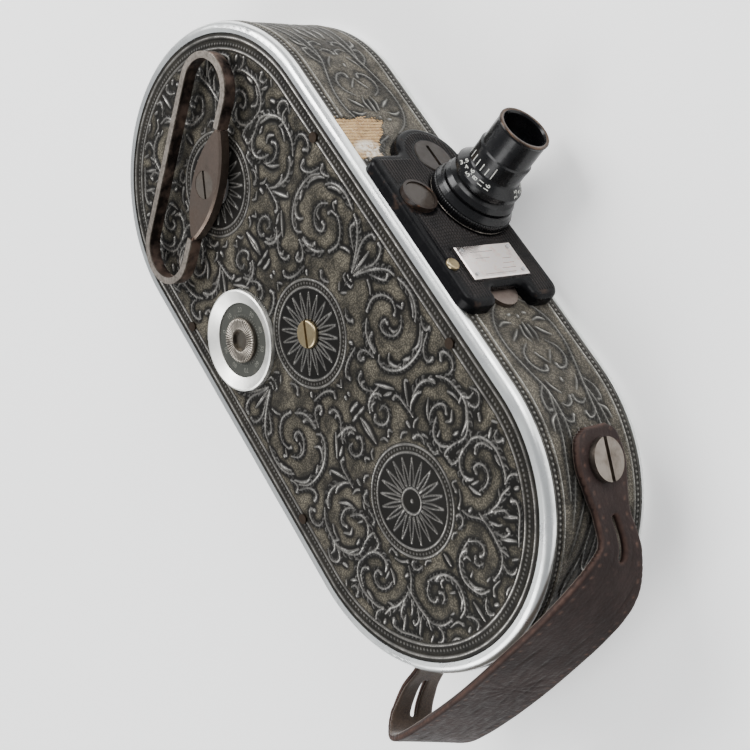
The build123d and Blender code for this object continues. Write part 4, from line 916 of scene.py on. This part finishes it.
# Strokes of the band: t runs along the edge from the middle of the front or back, and
# w is the distance from the band's middle line; both sides mirror each other.
BAND_STROKES = read_strokes("""
stem 30,3 33.6,7.6 39,10.6 46,11 53,9.3 60,7.2 68,6.4 76,7 85,9.2 95,11.2
stem 60,7.2 66,8.6 72,9.6 80,11 88,11.6
hook 58,8.2 61,10.6 64.6,10.8 64.9,9.4
leaf 66,8.4 67.6,10.8 70.4,11.6
hook 45,3.8 47.4,6.6 50.6,7.2 53.4,5.4 54,2.6 52.6,2
leaf 40.4,3.6 42,5.4 43.6,7.6
leaf 38.2,4.2 37.6,6.8 38.6,9
leaf 38.4,0 40.6,0 43.6,0
tick 39.4,1.6 42.4,2.2 44.8,1.4
bud 36,0 36.6,0
bud 35.4,2.6 35.6,3.4
tick 48.2,3 49.8,1.8 52,0
bud 57,0 57.8,0
hook 63.8,4.8 64.8,3 64,1 62.4,0.6
tick 61,3.2 58.6,5.2 56.6,6
hook 66.4,7 68.6,5.4 69,3.4 67.4,2.5
leaf 70.6,0 74,0 79,0
leaf 71,2.6 75,3.6 80,3
stem 78,0.6 88,1.6 98,4.6 107,8.8 113,11.8
stem 80,4.4 89,6.4 97,9.4 103,11.8
stem 88,0.3 98,1.4 108,4.4 117,9 122,12
stem 97,0.3 107,1 116,3.6 124,7.8 129,11.6
hook 92,2.2 100,5.4 106,5.8 108.4,3.8 107.4,2.4
hook 104,7.6 110,11 114.6,10.8 115.4,9
hook 112,2.2 118,5.6 122.2,5.4 122.8,3.4
leaf 112,0 118,0 124,0
leaf 118.6,2.2 123,2.8 127,2
hook 133,8.4 129.4,8 127,5.6 128,3.2 130.2,3.4
bud 132.6,0 133,0
leaf 133,2.4 133,6
leaf 131,11.6 133,10.4
# the middle of the back, which the front plate hides in front
scroll 29,2 25.4,7.6 18.6,10.2 11.6,8.6 8,4.4 10,1.4 13.6,2.2 14.2,4.8
hook 22.6,1 20,3.6 16.8,4.4
leaf 28,6.6 29,10.6
leaf 0,6.4 0,11.4
hook 0,4.8 3,7.8 6.4,10.4 9,11.4
bud 0,0 0,2
tick 2.2,1.2 5.6,1.8
""")


def band_relief():
    drawn, pillow = Relief(-1, 135, -1, 15), Relief(-1, 135, -1, 15)
    draw_strokes(drawn, BAND_STROKES)
    # pillow: open ground away from the strokes is raised; low ground near the strokes is coloured as dark
    # recess, partly painted shade.
    pillow.height = np.clip(1.35 - blurred(drawn.height, 6) * 7.0, 0, 1)
    half = LOOP / 2

    def relief(s, z):
        t = np.abs((s + half / 2) % half - half / 2)
        w = np.abs(z - BAND_MIDDLE)
        h, ground = drawn.sample(t, w), pillow.sample(t, w)
        bead = (s / BAND_BEAD_PITCH) % 1 - 0.5
        for line, beads, outer in ((34.5, 36.1, 37.35), (5.7, 4.1, 2.85)):
            h = np.maximum(h, np.maximum(crest(z - line, 0.6), 0.8 * crest(z - outer, 0.4)))
            h = np.maximum(h, crest(np.hypot(bead * BAND_BEAD_PITCH, z - beads), 0.72))
        ground = np.where((z > 35.0) | (z < 5.2), 0.1, ground)
        return h, ground

    return relief


def outline_depth(x, y, outline):
    """Signed distance inside a closed outline of straight sides."""
    best = np.full(x.shape, 1e9)
    inside = np.zeros(x.shape, bool)
    for (ax, ay), (bx, by) in zip(outline, outline[1:] + outline[:1]):
        along = (x - ax) * (bx - ax) + (y - ay) * (by - ay)
        share = np.clip(along / ((bx - ax) ** 2 + (by - ay) ** 2), 0, 1)
        best = np.minimum(best, np.hypot(x - ax - share * (bx - ax), y - ay - share * (by - ay)))
        crosses = (ay > y) != (by > y)
        slope = (bx - ax) / (by - ay if by != ay else 1e-9)
        inside ^= crosses & (x < ax + slope * (y - ay))
    return np.where(inside, best, -best)


def ragged(s, z):
    """Small wander of a torn edge."""
    return 0.35 * np.sin(2.3 * s + 1.1 * z) + 0.25 * np.sin(5.1 * z - 3.7 * s) + 0.15 * np.sin(9.7 * s)


def on_band(s, radius, z):
    """Row coordinates of a point of the edge; s starts at the middle of the front."""
    s = s % LOOP
    ends = np.array([END_CENTRE, END_CENTRE + ARC, 3 * END_CENTRE + ARC, 3 * END_CENTRE + 2 * ARC])
    turn_top = (s - ends[0]) / BODY_RADIUS
    turn_low = (s - ends[2]) / BODY_RADIUS
    spans = [s < end for end in ends]
    x = np.select(spans, [radius, radius * np.cos(turn_top), -radius, -radius * np.cos(turn_low)], radius)
    y = np.select(spans, [s, END_CENTRE + radius * np.sin(turn_top), 2 * END_CENTRE + ARC - s,
                          -END_CENTRE - radius * np.sin(turn_low)], s - LOOP)
    return np.stack(np.broadcast_arrays(x, y, z), -1)


def closed_strip(outer, inner_radius, s, z):
    """A strip of the edge as a closed solid: detailed outside, plain inside."""
    rows, columns = outer.shape[:2]
    verts = outer.reshape(-1, 3)
    inner = np.concatenate([on_band(s, inner_radius, np.full(columns, z[0])),
                            on_band(s, inner_radius, np.full(columns, z[-1]))])
    index, quads = grid_quads(rows, columns)
    faces = quads.tolist()
    low = rows * columns + np.arange(columns)
    high = low + columns
    for k in range(columns - 1):
        faces.append([index[0, k], low[k], low[k + 1], index[0, k + 1]])
        faces.append([index[-1, k], index[-1, k + 1], high[k + 1], high[k]])
        faces.append([low[k], high[k], high[k + 1], low[k + 1]])
    faces.append([*index[:, 0].tolist(), high[0], low[0]])
    faces.append([*index[::-1, -1].tolist(), low[-1], high[-1]])
    return np.concatenate([verts, inner]), [[int(v) for v in f] for f in faces]


BAND_STEP = 0.27
BAND_EMBOSS = 0.42


def band_piece(name, start, relief):
    quarter = LOOP / 4
    s = np.linspace(start, start + quarter, int(quarter / BAND_STEP) + 1)
    z = np.linspace(BAND_LOW, BAND_HIGH, int((BAND_HIGH - BAND_LOW) / BAND_STEP) + 1)
    grid_s, grid_z = np.meshgrid(s, z)
    ridge, ground = relief(grid_s, grid_z)
    lift = (ridge + 0.35 * ground) * BAND_EMBOSS
    torn = np.clip((outline_depth(grid_s, grid_z, TORN_OUTLINE) + ragged(grid_s, grid_z)) / 0.3, 0, 1)
    lift = lift * (1 - torn) - 0.22 * torn
    outer = on_band(grid_s, BAND_BASE + lift, grid_z)
    verts, faces = closed_strip(outer, 48.5, s, z)
    piece = new_piece(name, verts * MM, faces, "band", "casing", ["band_covering"])
    # ridge and ground also drive the embossed material's painted glints and painted shade.
    add_attribute(piece, "ridge", (ridge * (1 - torn)).ravel())
    add_attribute(piece, "ground", (ground * (1 - torn)).ravel())


edge_pattern = band_relief()
for number, name in enumerate(("front_upper", "back_upper", "back_lower", "front_lower")):
    band_piece("band_covering_" + name, number * LOOP / 4, edge_pattern)


def torn_lining():
    """Woven lining laid bare above the front plate, with a smear of old glue."""
    s, z = np.meshgrid(np.arange(20.8, 37.4, 0.16), np.arange(18.6, BAND_HIGH, 0.16))
    thread = 1.15
    over = np.cos(2 * np.pi * s / thread) * np.cos(2 * np.pi * z / thread)
    weft = np.abs(np.cos(np.pi * z / thread))
    warp = np.abs(np.cos(np.pi * s / thread))
    weave = np.where(over > 0, weft, warp)
    glue = np.clip(1.25 - np.hypot((s - 24.6) / 3.2, (z - 32.0) / 4.6), 0, 1)
    lump = 0.10 * glue * (1 + np.sin(3.1 * s) * np.sin(2.7 * z))
    radius = 48.62 + 0.13 * weave + lump + 0.10 * np.sin(0.9 * s + 0.5 * z)
    depth = outline_depth(s, z, TORN_OUTLINE)
    outer = on_band(s, np.where(depth > -0.9, radius, 48.55), z)
    verts, faces = closed_strip(outer, 48.5, s[0], z[:, 0])
    piece = new_piece("torn_lining", verts * MM, faces, "lining", "casing")
    # gap also darkens the gaps between threads in the lining's colour: painted shade.
    add_attribute(piece, "gap", np.clip(1 - weave * 1.9, 0, 1).ravel())
    add_attribute(piece, "glue", np.clip(glue * 1.6, 0, 1).ravel())


torn_lining()


# ==== front plate and lens detail ====
PLATE_OUTLINE = ((-34.0, 2.6), (9.0, 2.6), (17.0, 4.1), (18.8, 15.0), (18.8, 38.9), (-34.0, 38.9),
                 (-34.0, 28.0), (-28.4, 28.0), (-28.4, 14.0), (-34.0, 14.0))
PLUG_CENTRE, FINDER_CENTRE, RIVET_CENTRE = (17.0, 15.6), (2.4, 32.4), (-20.6, 36.3)
LOBE_RADIUS = 11.5
RIB_PITCH, RIB_HEIGHT = 1.02, 0.42
PLATE_BARE = (((LENS_Y, LENS_Z), 12.2), (FINDER_CENTRE, 5.8), (PLUG_CENTRE, 6.5), (RIVET_CENTRE, 2.1))
NAMEPLATE_BOX = (-21.2, 22.1, 5.7, 11.1)


def plate_grain():
    def inside(y, z):
        lobe = LOBE_RADIUS - np.hypot(y - PLUG_CENTRE[0], z - PLUG_CENTRE[1])
        depth = np.maximum(outline_depth(y, z, PLATE_OUTLINE), lobe) - 2.0
        for (cy, cz), radius in PLATE_BARE:
            depth = np.minimum(depth, np.hypot(y - cy, z - cz) - radius)
        cy, cz, half_y, half_z = NAMEPLATE_BOX
        return np.minimum(depth, np.maximum(np.abs(y - cy) - half_y, np.abs(z - cz) - half_z))

    step = 0.16
    y, z, quads = clipped_grid(np.arange(-205, 180) * step, np.arange(20, 235) * step, inside)
    rib = 0.5 + 0.5 * np.cos(2 * np.pi * z / RIB_PITCH + 0.5 * np.sin(y / 2.4))
    bump = 0.82 + 0.18 * np.cos(2 * np.pi * y / 1.05 + 1.4 * np.sin(z / 1.7))
    edge = np.clip(inside(y, z) / 0.8, 0, 1)
    x = FRONT_X - 0.04 + RIB_HEIGHT * rib * bump * edge + 0.04 * edge
    piece = new_piece("front_plate_grain", np.stack([x, y, z], 1) * MM, quads.tolist(), "ribs", "casing")
    # rib also paints a highlight on the rib tops in the plate's material.
    add_attribute(piece, "rib", rib**2 * bump * edge)
    close_sheet(piece, 0, (FRONT_X - 0.3) * MM)


plate_grain()


def ring_faces(count, rows):
    """Quads of a closed ring of count sections with rows points each."""
    faces = []
    for k in range(count):
        here, there = k * rows, (k + 1) % count * rows
        for p in range(rows):
            after = (p + 1) % rows
            faces.append((here + p, here + after, there + after, there + p))
    return faces


def face_outwards(piece):
    work = bmesh.new()
    work.from_mesh(piece.data)
    bmesh.ops.recalc_face_normals(work, faces=work.faces)
    work.to_mesh(piece.data)
    work.free()


def spin_profile(name, profile, count, look, ripple=None):
    """A closed ring on the lens, turned about X from (x, radius) points."""
    verts = []
    for k in range(count):
        angle = 2 * math.pi * k / count
        for place, (run, radius) in enumerate(profile):
            r = radius + (ripple(angle, place) if ripple else 0)
            verts.append((run, LENS_Y + r * math.cos(angle), LENS_Z + r * math.sin(angle)))
    faces = ring_faces(count, len(profile))
    piece = new_piece(name, np.array(verts) * MM, faces, look, "casing")
    face_outwards(piece)


KNURL_TEETH = 96


def knurl(angle, place):
    """Tooth height of the knurled base ring on its outer rows."""
    return 0.22 * (0.5 + 0.5 * math.cos(KNURL_TEETH * angle)) if 1 <= place <= 4 else 0.0


spin_profile("lens_base_knurl", [(53.5, 11.8), (53.7, 12.02), (54.0, 12.10), (55.6, 12.10), (55.9, 12.0),
                                 (56.1, 11.8)], KNURL_TEETH * 6, "lens", knurl)
spin_profile("lens_base_edge", [(53.42, 11.6), (53.40, 12.10), (53.48, 12.22), (53.62, 12.18),
                                (53.62, 11.6)], 160, "lens_edge")


def text_mesh(text, size, thickness=0.03):
    """Flat text as mesh points (x along the line, y up, z out) and faces, in millimetres."""
    data = bpy.data.curves.new("figure", "FONT")
    data.body = text
    data.size = size
    data.align_x = "CENTER"
    data.align_y = "CENTER"
    data.resolution_u = 3
    data.extrude = thickness
    holder = bpy.data.objects.new("figure", data)
    mesh = bpy.data.meshes.new_from_object(holder)
    points = np.array([v.co for v in mesh.vertices], float).reshape(-1, 3)
    faces = [list(p.vertices) for p in mesh.polygons]
    bpy.data.meshes.remove(mesh)
    bpy.data.objects.remove(holder)
    bpy.data.curves.remove(data)
    return points, faces


def flat_marks(name, parts, look, body):
    """One piece out of several sets of points and faces."""
    points, faces, offset = [], [], 0
    for p, f in parts:
        points.append(p)
        faces += [[v + offset for v in face] for face in f]
        offset += len(p)
    new_piece(name, np.concatenate(points) * MM, faces, look, body, smooth=False)


BOX_FACES = [[0, 1, 3, 2], [4, 6, 7, 5], [0, 4, 5, 1], [2, 3, 7, 6], [0, 2, 6, 4], [1, 5, 7, 3]]


BEVEL_LOW, BEVEL_HIGH = np.array([64.0, 10.12]), np.array([66.3, 7.92])   # (x, radius)


def on_bevel(points, angle):
    """Wraps text onto the bevel, reading outwards along the lens."""
    slope = (BEVEL_HIGH - BEVEL_LOW) / np.linalg.norm(BEVEL_HIGH - BEVEL_LOW)
    normal = np.array([-slope[1], slope[0]])
    middle = (BEVEL_LOW + BEVEL_HIGH) / 2
    run = middle[0] + points[:, 0] * slope[0] + points[:, 2] * normal[0]
    radius = middle[1] + points[:, 0] * slope[1] + points[:, 2] * normal[1]
    turn = angle - points[:, 1] / middle[1]
    return np.stack([run, LENS_Y + radius * np.cos(turn), LENS_Z + radius * np.sin(turn)], 1)


STOPS = ("3.5", "4", "5.6", "8", "11", "16")
STOP_GAP = 13.0             # degrees between neighbouring figures


def lens_figures():
    parts, marks = [], []
    for first in (66, 196):
        for number, text in enumerate(STOPS):
            angle = math.radians(first + STOP_GAP * number)
            points, faces = text_mesh(text, 2.1)
            parts.append((on_bevel(points, angle), faces))
    flat_marks("lens_stop_figures", parts, "paint", "casing")
    for number in range(len(STOPS)):
        angle = math.radians(62 + STOP_GAP * number)
        long = number == len(STOPS) - 1
        marks.append(index_mark(angle, 67.1, 3.6 if long else 2.3, 0.26, 7.82))
    flat_marks("lens_index_lines", marks, "paint", "casing")


def index_mark(angle, start, length, width, radius):
    """A thin painted line along X on the barrel."""
    half = width / 2 / radius
    corners = []
    for turn in (angle - half, angle + half):
        for r in (radius - 0.1, radius + 0.03):
            for run in (start, start + length):
                corners.append((run, LENS_Y + r * math.cos(turn), LENS_Z + r * math.sin(turn)))
    return np.array(corners), BOX_FACES


lens_figures()


# ==== footage dial ====
SERRATIONS = 48


def dial_knob_serrations():
    """Fine radial ridges on the knob's flat ring, as one low crown."""
    count = SERRATIONS * 6
    radii = [3.3, 3.7, 4.6, 5.6, 6.3, 6.55]
    verts, teeth = [], []
    for k in range(count):
        angle = 2 * math.pi * k / count
        tooth = 0.5 + 0.5 * math.cos(SERRATIONS * angle)
        section = [(r, 40.88 + 0.34 * (0.25 if r in (radii[0], radii[-1]) else 1.0) * tooth) for r in radii]
        section += [(radii[-1], 40.6), (radii[0], 40.6)]
        teeth += [tooth] * len(section)
        for r, z in section:
            verts.append((DIAL_CENTRE[0] + r * math.cos(angle), DIAL_CENTRE[1] + r * math.sin(angle), z))
    faces = ring_faces(count, len(radii) + 2)
    piece = new_piece("dial_knob_serrations", np.array(verts) * MM, faces, "teeth", "dial")
    # tooth also paints a highlight on the crests and shade in the grooves in the knob's material.
    add_attribute(piece, "tooth", np.array(teeth))
    face_outwards(piece)


FIGURE_CIRCLE = 9.1         # radius on which the dial's figures stand


def dial_figures():
    parts = []
    for number in range(0, 100, 10):
        angle = math.radians(125) - 2 * math.pi * number / 100
        points, faces = text_mesh(str(number), 2.1)
        turn = angle - math.pi / 2
        x = points[:, 0] * math.cos(turn) - (points[:, 1] + FIGURE_CIRCLE) * math.sin(turn)
        y = points[:, 0] * math.sin(turn) + (points[:, 1] + FIGURE_CIRCLE) * math.cos(turn)
        parts.append((np.stack([DIAL_CENTRE[0] + x, DIAL_CENTRE[1] + y, 39.5 + points[:, 2]], 1), faces))
    for number in range(50):
        angle = 2 * math.pi * number / 50
        near, far = (7.35, 7.9) if number % 5 else (7.2, 8.0)
        half = 0.09
        corners = []
        for side in (-half, half):
            for level in (39.4, 39.53):
                for r in (near, far):
                    corners.append((DIAL_CENTRE[0] + r * math.cos(angle) - side * math.sin(angle),
                                    DIAL_CENTRE[1] + r * math.sin(angle) + side * math.cos(angle), level))
        parts.append((np.array(corners), BOX_FACES))
    flat_marks("dial_figures", parts, "figure", "dial")


dial_knob_serrations()
dial_figures()


# ==== engraved lines on the nameplate, wear on the hood ====
def engraved_lines():
    """Plain border and ruled lines; the maker's lettering is left out."""
    parts = []
    y, z, half_y = NAMEPLATE_BOX[0], NAMEPLATE_BOX[1], 4.4
    strips = [((y - half_y, y - half_y + 0.12), (z - 6.0, z + 6.0)),
              ((y + 3.0, y + 3.14), (z - 2.0, z + 6.5)), ((y - 3.0, y - 2.88), (z - 7.0, z - 1.5)),
              ((y - 1.4, y - 1.28), (z - 7.5, z - 3.0)), ((y + 0.2, y + 0.32), (z - 7.5, z - 4.0)),
              ((y + 0.9, y + 1.02), (z + 0.5, z + 6.0))]
    for (y0, y1), (z0, z1) in strips:
        corners = [(x, a, b) for x in (FRONT_X + 1.1, FRONT_X + 1.215) for a in (y0, y1) for b in (z0, z1)]
        parts.append((np.array(corners), BOX_FACES))
    flat_marks("nameplate_lines", parts, "engraving", "casing")


engraved_lines()
spin_profile("hood_rim_wear", [(80.55, 7.45), (80.75, 7.60), (80.98, 7.50), (81.03, 7.2), (81.0, 6.7),
                               (80.8, 6.6)], 128, "hood_edge")


# ==== hand strap ====
STRAP_SCREW_ANGLE = math.radians(28.3)
STRAP_SCREW_Z = 19.5
STRAP_THICKNESS = 2.2
STRAP_RADIUS = BODY_RADIUS + 0.05 + STRAP_THICKNESS / 2


def beside_screw(side, reach, lean, width):
    """A point of the strap's straight end; reach runs down from the screw."""
    x = side * (STRAP_RADIUS * math.cos(STRAP_SCREW_ANGLE) - reach * math.sin(STRAP_SCREW_ANGLE))
    y = -END_CENTRE - STRAP_RADIUS * math.sin(STRAP_SCREW_ANGLE) - reach * math.cos(STRAP_SCREW_ANGLE)
    return (x, y, STRAP_SCREW_Z, lean, width)


STRAP_ROUTE = [             # x, y, z, lean in degrees, width
    beside_screw(1, -9.0, 0, 9.0), beside_screw(1, -6.5, 0, 16.0), beside_screw(1, 0, 0, 19.0),
    beside_screw(1, 7.0, 0, 16.5), beside_screw(1, 14.0, 1, 13.5), (34.6, -100.6, 21.0, 8, 15.0),
    (28.5, -106.6, 25.0, 16, 21.0), (18.0, -109.8, 30.0, 22, 23.0), (0.0, -111.0, 32.4, 24, 23.0),
    (-20.0, -110.9, 32.2, 24, 23.0), (-40.0, -109.4, 31.0, 24, 23.0), (-51.5, -107.4, 29.8, 22, 22.5),
    (-58.6, -103.4, 28.4, 17, 19.0), (-58.8, -97.6, 26.4, 12, 14.5), (-53.4, -92.4, 23.4, 6, 13.5),
    (-47.4, -89.8, 21.0, 2, 13.5), (-42.6, -88.2, 19.8, 0, 14.5), beside_screw(-1, 5.4, 0, 17.0),
    beside_screw(-1, 0, 0, 19.0), beside_screw(-1, -6.5, 0, 16.0), beside_screw(-1, -9.0, 0, 9.0),
]
STEPS_PER_SPAN = 24
SLOT_SPANS = (4 + 2 / 3, 13 + 2 / 3)        # where the two slots sit along the route
SLOT_LENGTH, SLOT_WIDTH = 12.0, 2.2
HOLE_SPANS = (2, 18)                        # the two strap screws


def strap_frames():
    """Route samples: distance, position, width direction, outward direction and width."""
    route = np.array(STRAP_ROUTE, float)
    line = catmull_rom(np.vstack([route[0], route, route[-1]]), lambda b, c: STEPS_PER_SPAN)
    place, lean, width = line[:, :3], np.radians(line[:, 3]), line[:, 4]
    along = np.gradient(place, axis=0)
    along /= np.linalg.norm(along, axis=1)[:, None]
    across = np.stack([np.zeros(len(lean)), np.sin(lean), np.cos(lean)], 1)
    across -= along * (along * across).sum(1)[:, None]
    across /= np.linalg.norm(across, axis=1)[:, None]
    out = np.cross(across, along)
    run = np.concatenate([[0], np.cumsum(np.linalg.norm(np.diff(place, axis=0), axis=1))])
    return run, place, across, out, width


RUN, PLACE, ACROSS, OUT, WIDTH = strap_frames()


def on_strap(s, w, height):
    pick = lambda table: np.stack([np.interp(s, RUN, table[:, k]) for k in range(3)], 1)
    return pick(PLACE) + pick(ACROSS) * w[:, None] + pick(OUT) * height[:, None]


def strap_inside(s, w):
    depth = np.minimum(np.interp(s, RUN, WIDTH) / 2 - np.abs(w), np.minimum(s, RUN[-1] - s))
    for span in SLOT_SPANS:
        middle = np.interp(span * STEPS_PER_SPAN, np.arange(len(RUN)), RUN)
        away = np.hypot(np.maximum(np.abs(s - middle) - (SLOT_LENGTH - SLOT_WIDTH) / 2, 0), w)
        depth = np.minimum(depth, away - SLOT_WIDTH / 2)
    for span in HOLE_SPANS:
        middle = RUN[span * STEPS_PER_SPAN]
        depth = np.minimum(depth, np.hypot(s - middle, w) - 2.6)
    return depth


def solid_sheet(name, top, low, quads, look):
    """Closed solid between two matching sheets of points."""
    count = len(top)
    edges = {}
    for quad in quads.tolist():
        for a, b in zip(quad, quad[1:] + quad[:1]):
            if edges.pop((b, a), None) is None:
                edges[(a, b)] = True
    faces = quads.tolist() + (quads[:, ::-1] + count).tolist()
    faces += [[b, a, a + count, b + count] for a, b in edges]
    return new_piece(name, np.concatenate([top, low]) * MM, faces, look, "casing",
                     ["hand_strap"])


BURST_SPAN = 8.6            # where the pressed star sits along the route
CREASES = (                 # place across the strap, radius, and where it starts and ends
    (-5.6, 0.5, 30, 150), (-2.2, 0.4, 20, 120), (1.6, 0.45, 70, 190), (4.4, 0.4, 25, 90),
    (6.8, 0.5, 100, 200), (-8.0, 0.4, 90, 185),
)
STITCH_PITCH, STITCH_RADIUS, STITCH_INSET = 3.6, 0.75, 2.0


def strap_marks(s, w):
    """Height of the pressed star and creases, and how deep a crease is, 0 to 1."""
    middle = np.interp(BURST_SPAN * STEPS_PER_SPAN, np.arange(len(RUN)), RUN)
    reach, angle = np.hypot(s - middle, w), np.arctan2(w, s - middle)
    petal = np.abs(np.sin(angle * 7)) ** 6
    star = petal * np.clip(1 - reach / 17, 0, 1) * np.clip(reach / 1.6, 0, 1)
    ring = crest(reach - 9.4, 0.7) * 0.3
    wander = w + 1.1 * np.sin(s / 17) + 0.5 * np.sin(s / 6.3 + w)
    crease = np.zeros_like(s)
    for place, size, start, end in CREASES:
        fade = np.clip((s - start) / 12, 0, 1) * np.clip((end - s) / 12, 0, 1)
        uneven = 0.6 + 0.4 * np.sin(s / 3.1 + place)
        crease = np.maximum(crease, crest(wander - place, size) * fade * uneven)
    brushed = 0.5 + 0.5 * np.sin(wander * 5.2 + 1.8 * np.sin(s / 9 + w / 3))
    along = (s / STITCH_PITCH) % 1 * STITCH_PITCH - STITCH_PITCH / 2
    inset = np.interp(s, RUN, WIDTH) / 2 - STITCH_INSET - np.abs(w)
    stitch = crest(along, STITCH_RADIUS) * crest(inset, STITCH_RADIUS)
    height = -0.16 * star - 0.10 * ring - 0.16 * crease + 0.05 * brushed - 0.14 * stitch
    return height, np.clip(crease + 0.7 * star, 0, 1), stitch


def strap_pieces():
    step = 0.5
    us = np.arange(-1, int(RUN[-1] / step) + 3) * step
    vs = np.arange(-26, 27) * step
    s, w, quads = clipped_grid(us, vs, strap_inside)
    s = np.clip(s, 0, RUN[-1])
    depth = np.clip(strap_inside(s, w), 0, None)
    half = STRAP_THICKNESS / 2
    round_out = 0.7 - np.sqrt(np.clip(0.49 - (0.7 - np.clip(depth, 0, 0.7)) ** 2, 0, None))
    height, crease, stitch = strap_marks(s, w)
    fade = np.clip(depth / 1.0, 0, 1)
    top = on_strap(s, w, half - 0.05 - round_out + height * fade)
    seam = on_strap(s, w, np.full_like(s, -half + 0.55))
    piece = solid_sheet("strap_leather_side", top, seam, quads, "leather")
    rub = 0.5 * np.clip(1.2 - depth / 0.55, 0, 1) + 0.8 * stitch
    add_attribute(piece, "rub_wear_and_highlight", np.clip(rub, 0, 1))
    # crease also darkens the creases and the pressed star in the leather's colour: painted shade.
    add_attribute(piece, "crease", crease * 0.8 * fade)
    low = on_strap(s, w, -half + 0.05 + 0.25 * (1 - np.clip(depth / 0.5, 0, 1)))
    solid_sheet("strap_suede_side", seam, low, quads, "suede")


strap_pieces()
